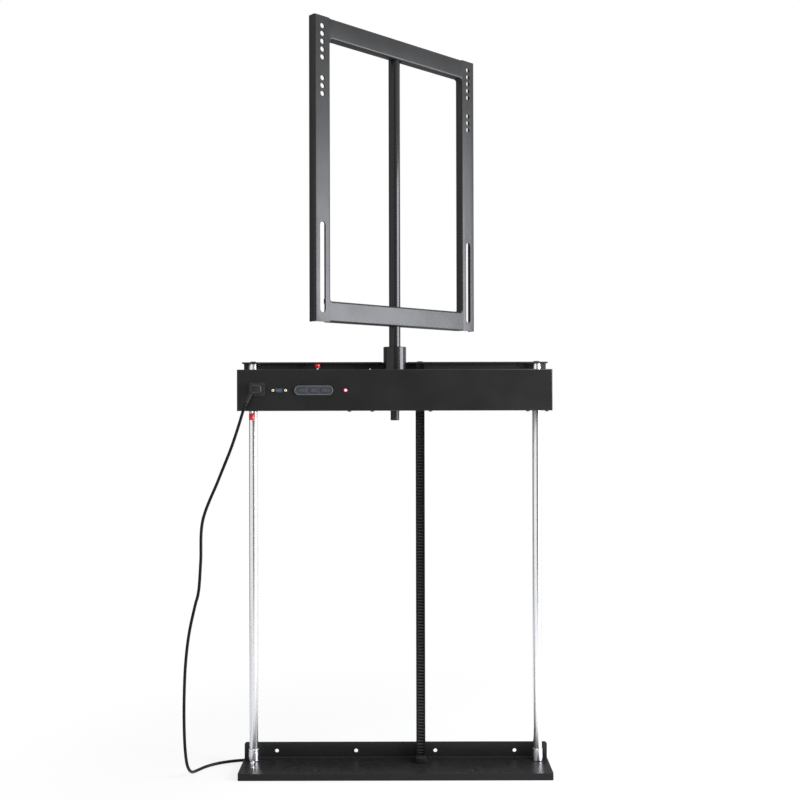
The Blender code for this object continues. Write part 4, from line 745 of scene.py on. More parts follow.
inlet = middle_of("power_inlet")
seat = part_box("cord_connector")[1].y
loops = []
for share, depth in CONNECTOR_SECTIONS:
    outline = rounded_loop(CONNECTOR_WIDTH * share, CONNECTOR_HEIGHT * share,
                           CONNECTOR_CORNER * share)
    loops.append([(inlet.x + u, seat - depth, inlet.z + v) for u, v in outline])
skinned("connector_body", loops, "black_rubber", "carriage", "cord_connector", sharp=50)

wide_end, thin_end = SLEEVE_RADII
sleeve = [(0.0, 0.0), (wide_end, 0.0), (wide_end, SLEEVE_PLAIN)]
for rib in range(RIBS):
    height = RIB_START + rib * RIB_PITCH
    radius = wide_end + (thin_end - wide_end) * height / SLEEVE_LENGTH
    sleeve += [(radius * share, height + rise) for share, rise in RIB_PROFILE]
sleeve += [(thin_end, SLEEVE_LIP), (CORD_DIAMETER / 2 + SLEEVE_GAP, SLEEVE_LENGTH),
           (0.0, SLEEVE_LENGTH)]
lean = Vector((0.0, 0.0, 1.0)).rotation_difference(CORD_FALL).to_matrix().to_4x4()
turned("connector_sleeve", sleeve, "black_rubber", "carriage", steps=32,
       place=Matrix.Translation(CORD_EXIT - CORD_FALL * SLEEVE_LENGTH) @ lean)
print("connector: body and sleeve with", RIBS, "ribs")

# %% [markdown]
# The plug swells from the lead to its flat face, over two rings that give a grip. It lies on
# the floor, so the middle of its sections sinks from the height of the lead to its own.

# %% Plug
PLUG_LENGTH, PLUG_MIDDLE = 0.034, 0.0118
PLUG_LEVEL_FROM = 0.75
PLUG_CORNER = 0.42
PLUG_SECTIONS = (
    (0.0, 0.0085, 0.0085), (0.03, 0.0112, 0.0102), (0.10, 0.0120, 0.0110), (0.14, 0.0104, 0.0096),
    (0.20, 0.0104, 0.0096), (0.23, 0.0121, 0.0111), (0.30, 0.0122, 0.0112), (0.33, 0.0106, 0.0098),
    (0.39, 0.0106, 0.0098), (0.42, 0.0124, 0.0114), (0.54, 0.0165, 0.0150), (0.66, 0.0235, 0.0205),
    (0.74, 0.0265, 0.0226), (0.80, 0.0270, 0.0230), (0.97, 0.0270, 0.0230), (1.0, 0.0256, 0.0216),
)

entry = Vector((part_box("mains_plug")[0].x, lead_out.y, lead_out.z))
loops = []
for share, width, height in PLUG_SECTIONS:
    z = entry.z + (PLUG_MIDDLE - entry.z) * min(1.0, share / PLUG_LEVEL_FROM)
    outline = rounded_loop(width, height, PLUG_CORNER * height)
    loops.append([(entry.x + PLUG_LENGTH * share, entry.y + u, z + v) for u, v in outline])
plug_body = skinned("plug_body", loops, "black_rubber", "stand", "mains_plug")
print("plug body:", len(PLUG_SECTIONS), "sections")

# %% [markdown]
# The plug holds two flat blades and a round pin. A blade is a block with rounded edges. The
# pin is a bar from the lathe with eased ends, laid along the plug.

# %% Pins of the plug
BLADE_SPACING, BLADE_LENGTH = 0.0127, 0.016
BLADE_HALF, BLADE_TALL = 0.00075, 0.0063
PIN_RADIUS, PIN_EASE, PIN_ROOT = 0.0024, 0.0008, 0.002
ALONG_X = Matrix.Rotation(math.pi / 2, 4, "Y")


def at(x, y, z):
    """The place that lies at a point and isn't turned."""
    return Matrix.Translation((x, y, z))


def eased(radius, low, high, ease, nick=0.3):
    """A solid round bar with eased ends, as a profile for the lathe."""
    near = ease * nick
    return [(0.0, low), (radius - ease, low), (radius - near, low + near), (radius, low + ease),
            (radius, high - ease), (radius - near, high - near), (radius - ease, high), (0.0, high)]


def block(bm, low, high, ease=0.0004):
    """A block between two corners, with rounded edges."""
    low, high = Vector(low), Vector(high)
    place = Matrix.Translation((low + high) / 2) @ Matrix.Diagonal((*(high - low), 1.0))
    made = bmesh.ops.create_cube(bm, size=1.0, matrix=place)
    edges = list(dict.fromkeys(e for corner in made["verts"] for e in corner.link_edges))
    bmesh.ops.bevel(bm, geom=edges, offset=ease, segments=2, profile=0.5, affect="EDGES")


face = entry.x + PLUG_LENGTH
bm = bmesh.new()
for side in (-1, 1):
    y = entry.y + side * BLADE_SPACING / 2
    block(bm, (face - PIN_ROOT, y - BLADE_HALF, PLUG_MIDDLE),
          (face + BLADE_LENGTH, y + BLADE_HALF, PLUG_MIDDLE + BLADE_TALL))
turn(bm, eased(PIN_RADIUS, -PIN_ROOT, BLADE_LENGTH, PIN_EASE),
     at(face, entry.y, PLUG_MIDDLE - BLADE_TALL) @ ALONG_X, 24)
plug_pins = settle("plug_pins", bm, "brass", "stand")
print("plug pins: 2 blades and a pin")

# %% [markdown]
# The lead itself is a round tube skinned along its route. Its upper end moves with the
# carriage and its lower one stays with the stand.

# %% Tube of the mains lead
CORD_SIDES = 14


def tube_along(bm, path, radius, sides):
    """Skin a round tube along a path, turning its ring no more than the path turns."""
    loops = []
    heading = (path[1] - path[0]).normalized()
    across = heading.orthogonal().normalized()
    angles = [2 * math.pi * k / sides for k in range(sides)]
    for i, spot in enumerate(path):
        ahead = (path[min(i + 1, len(path) - 1)] - path[max(i - 1, 0)]).normalized()
        across = heading.rotation_difference(ahead) @ across
        heading = ahead
        other = heading.cross(across)
        loops.append([spot + radius * (math.cos(a) * across + math.sin(a) * other)
                      for a in angles])
    skin(bm, loops)


bm = bmesh.new()
tube_along(bm, cord_path, CORD_DIAMETER / 2, CORD_SIDES)
mains_lead = as_piece("mains_lead", bm, "lead_sheath")
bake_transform(mains_lead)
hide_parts("power_cord", "cord_coil")
print("mains lead:", len(mains_lead.data.vertices), "vertices")

# %% [markdown]
# The guide rods and their feet are the brightest metal on the stand. With few sides they
# would mirror the room in stripes, so they are turned again with many sides and rounded
# ends. Each foot gets the groove where it grips the rod, given as how far in from its
# radius and how far below its top.

# %% Guide rods
ROD_RADIUS, ROD_EASE = 0.0090, 0.0006
FOOT_RADIUS, FOOT_EASE = 0.0102, 0.0008
FOOT_GRIP = ((0.0, 0.0060), (0.0007, 0.0056), (0.0007, 0.0046), (0.0, 0.0042), (0.0, 0.0006),
             (0.0006, 0.0))


def upright(node):
    """The vertical axis through a node's middle."""
    spot = middle_of(node)
    return at(spot.x, spot.y, 0.0)


for side in ("left", "right"):
    rod, foot = f"guide_rod_{side}", f"rod_foot_{side}"
    lathe = {"place": upright(rod), "steps": 72, "mapped": True}
    low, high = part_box(rod)
    turned(f"polished_rod_{side}", eased(ROD_RADIUS, low.z, high.z, ROD_EASE), "chrome", "stand",
           rod, **lathe)
    low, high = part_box(foot)
    profile = [(0.0, low.z), (FOOT_RADIUS - FOOT_EASE, low.z), (FOOT_RADIUS, low.z + FOOT_EASE)]
    profile += [(FOOT_RADIUS - inset, high.z - drop) for inset, drop in FOOT_GRIP]
    turned(f"polished_foot_{side}", [*profile, (0.0, high.z)], "chrome", "stand", foot, **lathe)
print("guide rods and feet: 4 turned pieces")

# %% [markdown]
# The column is glossier than the folded sheet around it, because it is turned tube under
# the same black paint. Collar, bush cap, pole and shaft are each turned from a profile.

# %% Column
POLE_RADIUS, POLE_BORE, POLE_EASE = 0.0118, 0.0093, 0.0004
COLLAR_RADIUS, COLLAR_BORE, COLLAR_FILLET = 0.0235, 0.0148, 0.0008
FLANGE_RADIUS, FLANGE_TALL, FLANGE_EASE = 0.0270, 0.0040, 0.0005
CAP_BORE, CAP_SPIGOT, CAP_MOUTH, CAP_SEAM = 0.0122, 0.0145, 0.0129, 0.0001
CAP_ROUNDING = ((0.0, 0.0010), (0.0003, 0.0003), (0.0010, 0.0))
SHAFT_RADIUS, SHAFT_EASE, CENTRE_RADIUS = 0.0090, 0.0012, 0.0022
GROOVE_RADIUS, GROOVE_GAP = 0.0081, 0.0003

low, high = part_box("column_pole")
turned("glossy_pole",
       [(POLE_BORE, low.z), (POLE_RADIUS - POLE_EASE, low.z), (POLE_RADIUS, low.z + POLE_EASE),
        (POLE_RADIUS, high.z - POLE_EASE), (POLE_RADIUS - POLE_EASE, high.z), (POLE_BORE, high.z)],
       "column_gloss", "column", "column_pole", steps=72)

low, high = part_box("column_collar")
step = low.z + FLANGE_TALL
turned("glossy_collar",
       [(COLLAR_BORE, low.z), (FLANGE_RADIUS - FLANGE_EASE, low.z),
        (FLANGE_RADIUS, low.z + FLANGE_EASE), (FLANGE_RADIUS, step - FLANGE_EASE),
        (FLANGE_RADIUS - FLANGE_EASE, step), (COLLAR_RADIUS + COLLAR_FILLET, step),
        (COLLAR_RADIUS, step + COLLAR_FILLET), (COLLAR_RADIUS, high.z), (COLLAR_BORE, high.z)],
       "column_gloss", "carriage", "column_collar", steps=96)

seam = high.z + CAP_SEAM
low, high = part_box("column_bush_upper")
profile = [(CAP_BORE, low.z), (CAP_SPIGOT, low.z), (CAP_SPIGOT, seam), (COLLAR_RADIUS, seam)]
profile += [(COLLAR_RADIUS - inset, high.z - drop) for inset, drop in CAP_ROUNDING]
profile += [(CAP_MOUTH, high.z), (CAP_BORE, high.z - (CAP_MOUTH - CAP_BORE))]
turned("collar_cap", profile, "column_gloss", "carriage", "column_bush_upper", steps=96)

low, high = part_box("column_shaft")
clip_low, clip_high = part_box("shaft_clip")
groove_low, groove_high = clip_low.z - GROOVE_GAP, clip_high.z + GROOVE_GAP
turned("turned_shaft",
       [(0.0, low.z + SHAFT_EASE), (CENTRE_RADIUS, low.z), (SHAFT_RADIUS - SHAFT_EASE, low.z),
        (SHAFT_RADIUS, low.z + SHAFT_EASE), (SHAFT_RADIUS, groove_low), (GROOVE_RADIUS, groove_low),
        (GROOVE_RADIUS, groove_high), (SHAFT_RADIUS, groove_high), (SHAFT_RADIUS, high.z),
        (0.0, high.z)],
       "shaft_steel", "column", "column_shaft", steps=64)
print("column: pole, collar, cap and shaft")

# %% [markdown]
# The screen frame is four folded channels welded into one and ground flush, so no seam
# shows on its face. Where a rail meets a stile, a filler follows the rail's rounded section
# and closes the wedge beside the stile's own bend. It is built for a frame that faces the
# front and then turned with the frame.

# %% Frame welds
SCREEN_TURN = Matrix.Rotation(math.radians(42.3), 4, "Z")
FRAME_HALF, STILE_WIDTH, CHANNEL_DEPTH, FRAME_BEND = 0.2195, 0.039, 0.0175, 0.004
SHEET = 0.0012
WINDOW_HALF = FRAME_HALF - STILE_WIDTH
WELD_LAP, WELD_BITE, WELD_PROUD = 0.0006, 0.0002, 0.00002


def quarter(start=0):
    """Seven angles through a bend of a quarter turn, from a start in degrees."""
    return [math.radians(start + 15 * i) for i in range(7)]


def rail_section(low, high):
    """Points of a rail's face from its lower bend to its upper one, with their normals."""
    section = []
    for height, start in ((low + FRAME_BEND, -90), (high - FRAME_BEND, 0)):
        centre = Vector((0.0, FRAME_BEND - CHANNEL_DEPTH, height))
        for lift in quarter(start):
            normal = Vector((0.0, -math.cos(lift), math.sin(lift)))
            section.append((centre + normal * FRAME_BEND, normal))
    return section


def stile_edge(y):
    """How far the stile's bend has drawn back from the rail's end at a depth y."""
    deep = min(1.0, max(0.0, (y + CHANNEL_DEPTH) / FRAME_BEND))
    return WINDOW_HALF + FRAME_BEND * (1.0 - math.sqrt(1.0 - (1.0 - deep) ** 2))


bm = bmesh.new()
for rail in ("frame_rail_lower", "frame_rail_upper"):
    low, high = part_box(rail)
    for side in (-1, 1):
        loops = []
        for spot, normal in rail_section(low.z, high.z):
            near = Vector((side * (WINDOW_HALF - WELD_LAP), 0.0, 0.0))
            far = Vector((side * (stile_edge(spot.y) + WELD_BITE), 0.0, 0.0))
            top, under = spot + normal * WELD_PROUD, spot - normal * SHEET
            corners = (near + top, far + top, far + under, near + under)
            loops.append([SCREEN_TURN @ corner for corner in corners])
        skin(bm, loops)
settle("frame_welds", bm, "black_paint", "column", sharp=30)
print("frame welds: 4 fillers")

# %% [markdown]
# The window of the frame has small round corners, left by the weld and ground smooth. Each
# is a slice of a ring: the section of the folded edge, swung through a quarter turn.

# %% Window corners
CORNER_RADIUS = 0.005
CORNER_STEPS = 8
CORNER_PROUD = 0.00003

window_low, window_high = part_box("frame_rail_lower")[1].z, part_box("frame_rail_upper")[0].z
fold = [(CORNER_RADIUS, 0.0), (CORNER_RADIUS, FRAME_BEND - CHANNEL_DEPTH)]
fold += [(CORNER_RADIUS + FRAME_BEND * (1 - math.cos(b)),
          FRAME_BEND * (1 - math.sin(b)) - CHANNEL_DEPTH) for b in quarter()[1:]]
bm = bmesh.new()
for side in (-1, 1):
    for level, up in ((window_low, 1), (window_high, -1)):
        loops = []
        for i in range(CORNER_STEPS + 1):
            a = math.pi / 2 * i / CORNER_STEPS
            far = (CORNER_RADIUS + FRAME_BEND) / max(math.cos(a), math.sin(a)) + WELD_BITE
            outer = [(far, -CHANNEL_DEPTH), (far, SHEET - CHANNEL_DEPTH), (far, 0.0)]
            loop = []
            for reach, y in fold + outer:
                across = CORNER_RADIUS - reach * math.cos(a)
                rise = CORNER_RADIUS - reach * math.sin(a)
                loop.append(SCREEN_TURN @ Vector((side * (WINDOW_HALF - across), y - CORNER_PROUD,
                                                  level + up * rise)))
            loops.append(loop)
        skin(bm, loops)
settle("window_corners", bm, "black_paint", "column", sharp=30)
print("window corners: 4")

# %% [markdown]
# Some pieces are flat plates with holes. A plate is filled between its outline and its
# holes, and then drawn out to its thickness, so that every hole has a clean wall.


# %% Plates with holes
def ring_loop(radius, sides):
    """Points on a circle, as (across, up) pairs."""
    angles = [2 * math.pi * i / sides for i in range(sides)]
    return [(radius * math.cos(a), radius * math.sin(a)) for a in angles]


def polygon_loop(across, sides):
    """A regular polygon by its width across flats; many sides make a circle."""
    return ring_loop(across / 2 / math.cos(math.pi / sides), sides)


def pierced(bm, outline, holes, thickness, place):
    """A flat plate with holes; its outline lies in the place's XY plane, its depth along Z."""
    edges = []
    for loop in (outline, *holes):
        ring = [bm.verts.new(place @ Vector((x, y, 0.0))) for x, y in loop]
        edges += [bm.edges.new((ring[i - 1], ring[i])) for i in range(len(ring))]
    sheet = bmesh.ops.triangle_fill(bm, use_beauty=True, edges=edges)["geom"]
    sheet = [item for item in sheet if isinstance(item, bmesh.types.BMFace)]
    pushed = bmesh.ops.extrude_face_region(bm, geom=sheet)["geom"]
    corners = [item for item in pushed if isinstance(item, bmesh.types.BMVert)]
    depth = place.to_3x3() @ Vector((0.0, 0.0, thickness))
    bmesh.ops.translate(bm, verts=corners, vec=depth)


print("makers: ring_loop, polygon_loop, pierced")

# %% [markdown]
# Two clamps join the rails to the pole. Each is a block with the pole's bore, and its rear
# edges are bevelled above and below, so that from the front it hides behind the rail.

# %% Pole clamps
CLAMP_WIDTH, CLAMP_REAR, CLAMP_BORE = 0.050, 0.0151, 0.0121
CLAMP_CORNER, BEVEL_START, BEVEL_SLOPE = 0.010, 0.004, 0.5
CLAMP_SEAT = 0.0033

half = CLAMP_WIDTH / 2
clamp_front = CLAMP_SEAT - CHANNEL_DEPTH
outline = [(half, clamp_front), (half, CLAMP_REAR - CLAMP_CORNER)]
for side, start in ((1, 0), (-1, 90)):
    outline += [(side * (half - CLAMP_CORNER) + CLAMP_CORNER * math.cos(a),
                 CLAMP_REAR - CLAMP_CORNER + CLAMP_CORNER * math.sin(a))
                for a in quarter(start)[1:]]
outline.append((-half, clamp_front))
for word in ("lower", "upper"):
    saddle = f"pole_saddle_{word}"
    low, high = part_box(saddle)
    bm = bmesh.new()
    pierced(bm, outline, [polygon_loop(2 * CLAMP_BORE, 48)], high.z - low.z, at(0.0, 0.0, low.z))
    for corner in bm.verts:
        drop = max(0.0, corner.co.y - BEVEL_START) * BEVEL_SLOPE
        corner.co.z += drop if corner.co.z < (low.z + high.z) / 2 else -drop
    bmesh.ops.transform(bm, matrix=SCREEN_TURN, verts=bm.verts)
    settle(f"pole_clamp_{word}", bm, "dark_steel", "column", saddle)
print("pole clamps: 2")

# %% [markdown]
# A bead of weld joins the base plate to its upstand. Its hollow face catches one long line
# of light, just as the joint does in the photograph.

# %% Base weld
BEAD, BEAD_SUNK, BEAD_END = 0.0022, 0.0002, 0.004

base_low, base_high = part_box("base_plate")
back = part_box("base_upstand")[0].y
loops = []
for x in (base_low.x + BEAD_END, base_high.x - BEAD_END):
    hollow = [(x, back - BEAD + BEAD * math.sin(a), base_high.z + BEAD - BEAD * math.cos(a))
              for a in quarter()]
    loops.append([(x, back + BEAD_SUNK, base_high.z - BEAD_SUNK), *hollow])
skinned("base_weld", loops, "base_paint", "stand", sharp=30)
print(f"base weld: {base_high.x - base_low.x - 2 * BEAD_END:.3f} m")

# %% [markdown]
# The upper edge of the carriage's front is hemmed: the sheet is folded back on itself, so the
# edge is round and safe to touch. It draws one thin light line along the top of the panel.

# %% Hemmed edge
HEM_RADIUS, HEM_SIDES = 0.0011, 20
HEM_BACK, HEM_BELOW = 0.0010, 0.0008
HEM_TIP, HEM_SHOULDER, HEM_TIP_SIZE = 0.0004, 0.0010, 0.4

tray_low, tray_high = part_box("carriage_tray")
loops = []
for x, size in ((tray_low.x + HEM_TIP, HEM_TIP_SIZE), (tray_low.x + HEM_SHOULDER, 1.0),
                (tray_high.x - HEM_SHOULDER, 1.0), (tray_high.x - HEM_TIP, HEM_TIP_SIZE)):
    loops.append([(x, tray_low.y + HEM_BACK + u, tray_high.z - HEM_BELOW + v)
                  for u, v in ring_loop(HEM_RADIUS * size, HEM_SIDES)])
skinned("tray_hem", loops, "black_paint", "carriage", sharp=60)
print(f"hem: {tray_high.x - tray_low.x:.3f} m")

# %% [markdown]
# The three bolts over the beam have low six-sided heads on washers. A head is skinned over
# six-sided loops that draw in towards the crown, because a pressed head has no sharp top.

# %% Bolts
WASHER = ((0.0032, 0.0), (0.0066, 0.0), (0.0068, 0.0002), (0.0066, 0.0005), (0.0032, 0.0005))
WASHER_THICK = 0.0005
BOLT_ACROSS, BOLT_RADIUS, BOLT_EASE, BOLT_LAP = 0.0108, 0.0029, 0.0003, 0.0006


def hexed(bm, place, across, height):
    """A six-sided head with a rounded crown."""
    loops = []
    for size, rise in ((1.0, 0.0), (1.0, 0.55), (0.97, 0.8), (0.9, 0.95), (0.78, 1.0)):
        loops.append([place @ Vector((x, y, height * rise))
                      for x, y in polygon_loop(across * size, 6)])
    skin(bm, loops)


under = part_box("top_beam")[1].z
for name in ("top_bolt_left", "top_bolt_right", "rack_bolt"):
    low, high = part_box(name)
    axis = upright(name)
    bm = bmesh.new()
    turn(bm, [(radius, under + rise) for radius, rise in WASHER], axis, 40)
    hexed(bm, axis @ at(0.0, 0.0, under + WASHER_THICK), BOLT_ACROSS,
          high.z - under - WASHER_THICK)
    turn(bm, eased(BOLT_RADIUS, low.z, under + BOLT_LAP, BOLT_EASE), axis, 24)
    settle(f"{name}_head", bm, "dark_steel", "stand", name)
print("bolts: 3 heads on washers")

# %% [markdown]
# Round-headed screws hold the deck, the board and the guide blocks from under the carriage.
# Four more go round the collar's flange, and small bolts sit in the corners of the deck. A
# round head is a low dome from the lathe, and the ones underneath are turned upside down.


# %% Screws
def domed(radius, height):
    """The profile of a low round screw head."""
    return [(0.0, 0.0), (radius, 0.0), (radius, height * 0.3), (radius * 0.93, height * 0.6),
            (radius * 0.72, height * 0.86), (radius * 0.4, height * 0.97), (0.0, height)]


TRAY_SCREW = domed(0.0038, 0.0020)
TRAY_SCREW_Y = -0.050
TRAY_SCREW_XS = (-0.0910, -0.0450, 0.0717, 0.2670, 0.3050)
FLANGE_SCREW = domed(0.0022, 0.0012)
FLANGE_SCREW_REACH, FLANGE_SCREW_RISE = 0.02525, 0.0043
DECK_BOLT_ACROSS, DECK_BOLT_TALL, DECK_THICK = 0.0055, 0.0025, 0.0030
DECK_BOLT_IN = (0.006, 0.008)
FACING_DOWN = Matrix.Rotation(math.pi, 4, "X")

bm = bmesh.new()
for x in TRAY_SCREW_XS:
    turn(bm, TRAY_SCREW, at(x, TRAY_SCREW_Y, tray_low.z) @ FACING_DOWN, 24)
settle("tray_screws", bm, "dark_steel", "carriage")

deck_low, deck_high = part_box("gear_deck")
bm = bmesh.new()
for angle in range(45, 360, 90):
    a = math.radians(angle)
    turn(bm, FLANGE_SCREW, at(FLANGE_SCREW_REACH * math.cos(a), FLANGE_SCREW_REACH * math.sin(a),
                              deck_high.z + FLANGE_SCREW_RISE), 20)
for x in (deck_low.x + DECK_BOLT_IN[0], deck_high.x - DECK_BOLT_IN[0]):
    for y in (deck_low.y + DECK_BOLT_IN[1], deck_high.y - DECK_BOLT_IN[1]):
        hexed(bm, at(x, y, deck_low.z + DECK_THICK), DECK_BOLT_ACROSS, DECK_BOLT_TALL)
settle("deck_screws", bm, "plated_steel", "carriage")
print("screws:", len(TRAY_SCREW_XS), "under the tray, 8 on the deck")

# %% [markdown]
# The limit plungers are red caps on plated stems. Each is turned as a cap and a stem on
# the plunger's own body, so both are pressed together. The striker is a bright screw with a
# round head.

# %% Plungers and striker
CAP_RADIUS, CAP_EASE, CAP_NICK = 0.0060, 0.0012, 1 / 3
STEM_RADIUS, STEM_EASE, STEM_LAP = 0.0025, 0.0003, 0.0005
UPPER_CAP, LOWER_CAP = 0.0085, 0.0130
STRIKER_FOOT = ((0.0, 0.0), (0.0045, 0.0), (0.0045, 0.0025), (0.0030, 0.0030))
STRIKER_HEAD = ((0.0030, 0.0036), (0.0044, 0.0032), (0.0045, 0.0018), (0.0040, 0.0007),
                (0.0027, 0.0001), (0.0, 0.0))


def plunger(word, cap, stem):
    """A red cap and a plated stem, each by its lowest and highest level."""
    body = f"{word}_plunger"
    axis = upright(body)
    turned(f"{word}_cap", eased(CAP_RADIUS, *cap, CAP_EASE, CAP_NICK), "red_plastic", body, body,
           place=axis)
    turned(f"{word}_stem", eased(STEM_RADIUS, *stem, STEM_EASE), "plated_steel", body,
           place=axis, steps=32)


low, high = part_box("upper_plunger")
plunger("upper", (high.z - UPPER_CAP, high.z), (low.z, high.z - UPPER_CAP + STEM_LAP))
low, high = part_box("lower_plunger")
plunger("lower", (low.z, low.z + LOWER_CAP), (low.z + LOWER_CAP - STEM_LAP, high.z))

low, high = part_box("striker_screw")
profile = [(radius, low.z + rise) for radius, rise in STRIKER_FOOT]
profile += [(radius, high.z - drop) for radius, drop in STRIKER_HEAD]
turned("bright_striker", profile, "chrome", "stand", "striker_screw",
       place=upright("striker_screw"), steps=40, mapped=True)
print("plungers: caps and stems; striker")

# %% [markdown]
# The keypad on the control panel gets a raised rim, and each key a printed sign: down, stop
# and up. They face the front, so outlines are drawn as (right, up) pairs. The rim is skinned
# over loops, each given by how far in it lies and how far behind the front.

# %% Keypad
RIM_SECTIONS = ((0.0, 0.0006), (0.0003, 0.0), (0.0009, -0.0002), (0.0015, 0.0), (0.0019, 0.0006),
                (0.0019, 0.0014))
RIM_ROUND, RIM_STEPS = 0.49, 16
ARROW = ((-0.0028, -0.0014), (0.0028, -0.0014), (0.0, 0.0024))
SIGNS = {"down": [(-x, -y) for x, y in ARROW], "stop": rounded_loop(0.0042, 0.0042, 0.0004, 2),
         "up": ARROW}
SIGN_THICK, SIGN_SUNK = 0.0003, 0.0002
FACING_FRONT = Matrix.Rotation(math.pi / 2, 4, "X")


def facing(spot, y):
    """A place in line with a spot, at a depth y, whose Z axis points to the front."""
    return at(spot.x, y, spot.z) @ FACING_FRONT


pad_low, pad_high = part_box("keypad_bezel")
pad = middle_of("keypad_bezel")
loops = []
for inset, y in ((0.0, pad_high.y), *((inset, pad_low.y + back) for inset, back in RIM_SECTIONS)):
    wide, tall = pad_high.x - pad_low.x - 2 * inset, pad_high.z - pad_low.z - 2 * inset
    loops.append([(pad.x + u, y, pad.z + v)
                  for u, v in rounded_loop(wide, tall, RIM_ROUND * tall, RIM_STEPS)])
skinned("keypad_rim", loops, "rim_plastic", "carriage", ring=True)

for word, sign in SIGNS.items():
    key = f"key_{word}"
    bm = bmesh.new()
    pierced(bm, sign, (), SIGN_THICK, facing(middle_of(key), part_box(key)[0].y + SIGN_SUNK))
    settle(f"sign_{word}", bm, "key_print", key)
print("keypad: rim and", len(SIGNS), "key signs")

# %% [markdown]
# The D connector's dull insert has nine sockets, and its two brass jackscrews are bored.
# Each is a bored plate in front of a plain one, so that every hole has a floor.

# %% D connector
D_TOP, D_BOTTOM, D_TALL = 0.0151, 0.0129, 0.0065
SOCKET_PITCH, SOCKET_ROWS, SOCKET_WIDTH, SOCKET_DEPTH = 0.00277, 0.00142, 0.0012, 0.0020
JACK_BORE, JACK_DEPTH = 0.0026, 0.0028
BORE_SEAM = 0.0001


def bored_front(node, outline, holes, depth):
    """A plate as deep as a node, with holes from the front down to a depth."""
    low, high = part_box(node)
    spot = middle_of(node)
    bm = bmesh.new()
    pierced(bm, outline, holes, depth, facing(spot, low.y + depth))
    pierced(bm, outline, (), high.y - low.y - depth - BORE_SEAM, facing(spot, high.y))
    return bm


d_outline = [(-D_BOTTOM / 2, -D_TALL / 2), (D_BOTTOM / 2, -D_TALL / 2), (D_TOP / 2, D_TALL / 2),
             (-D_TOP / 2, D_TALL / 2)]
sockets = [((i - 2) * SOCKET_PITCH, SOCKET_ROWS) for i in range(5)]
sockets += [((i - 1.5) * SOCKET_PITCH, -SOCKET_ROWS) for i in range(4)]
holes = [[(x + u, z + v) for u, v in polygon_loop(SOCKET_WIDTH, 12)] for x, z in sockets]
settle("socket_face", bored_front("dsub_insert", d_outline, holes, SOCKET_DEPTH), "blue_plastic",
       "carriage", "dsub_insert")

for side in ("left", "right"):
    jack = f"jackscrew_{side}"
    low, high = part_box(jack)
    bm = bored_front(jack, polygon_loop(high.x - low.x, 6), [polygon_loop(JACK_BORE, 20)],
                     JACK_DEPTH)
    settle(f"bored_jackscrew_{side}", bm, "bright_brass", "carriage", jack)
print("D connector:", len(sockets), "sockets, 2 jackscrews")

# %% [markdown]
# The lamp is a domed lens in a flat rim, turned on an axis that faces the front.

# %% Status lens
LENS_PROFILE = ((0.0, -0.0060), (0.0025, -0.0060), (0.0025, 0.0), (0.0035, 0.0), (0.0035, 0.0007),
                (0.0031, 0.0010), (0.0025, 0.0011), (0.0022, 0.0016), (0.0014, 0.0020),
                (0.0, 0.0022))

turned("status_lens", LENS_PROFILE, "red_lens", "carriage", "status_lamp",
       place=facing(lamp_middle, tray_low.y))
print("status lens at", [round(v, 3) for v in lamp_middle])

# %% [markdown]
# From above and behind, the inside of the carriage shows: relays, chips, capacitors and
# terminals on the back of the board. A block is given by its left, right, lower and upper
# edges, how far it stands out, and its rounding.

# %% Board
RELAYS = [(x - 0.0095, x + 0.0095, 0.7760, 0.7915, 0.0150, 0.0006)
          for x in (-0.168, -0.146, -0.124)]
CHIPS = [(-0.2140, -0.2040, 0.7700, 0.7770, 0.0024, 0.0003),
         (-0.1980, -0.1860, 0.7900, 0.7980, 0.0024, 0.0003)]
TERMINAL_START, TERMINAL_PITCH = -0.1780, 0.0102
TERMINALS = [(x - 0.0050, x + 0.0050, 0.7500, 0.7610, 0.0100, 0.0005)
             for x in (TERMINAL_START + i * TERMINAL_PITCH for i in range(8))]
CAPACITORS = ((-0.1010, 0.7935, 0.0055, 0.0160), (-0.1010, 0.7800, 0.0055, 0.0160),
              (-0.2200, 0.7950, 0.0040, 0.0110))
FACING_BACK = Matrix.Rotation(-math.pi / 2, 4, "X")

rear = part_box("control_board")[1].y


def board_blocks(name, finish, blocks):
    """One piece of several blocks on the back of the board."""
    bm = bmesh.new()
    for left, right, low, high, depth, ease in blocks:
        block(bm, (left, rear, low), (right, rear + depth, high), ease)
    settle(name, bm, finish, "carriage")


board_blocks("board_relays", "black_plastic", RELAYS + CHIPS)
bm = bmesh.new()
for x, z, radius, tall in CAPACITORS:
    can = [(0.0, 0.0), (radius, 0.0), (radius, 0.0012), (radius - 0.0004, 0.0018),
           (radius, 0.0024), (radius, tall - 0.0006), (radius - 0.0006, tall),
           (radius - 0.0009, tall - 0.0003), (0.0, tall - 0.0003)]
    turn(bm, can, at(x, rear, z) @ FACING_BACK, 32)
settle("board_capacitors", bm, "plated_steel", "carriage")
board_blocks("board_terminals", "blue_plastic", TERMINALS)
print("board:", len(RELAYS), "relays,", len(CAPACITORS), "capacitors,", len(TERMINALS), "terminals")

# %% [markdown]
# The power supply has a thin lid with two rows of vents. It is one pierced plate.

# %% Supply
LID_INSET, LID_CORNER, LID_THICK = 0.001, 0.002, 0.0008
VENTS, VENT_PITCH, VENT_ROWS = 9, 0.0065, (-0.0075, 0.0075)
VENT = rounded_loop(0.0026, 0.0110, 0.0012, 4)

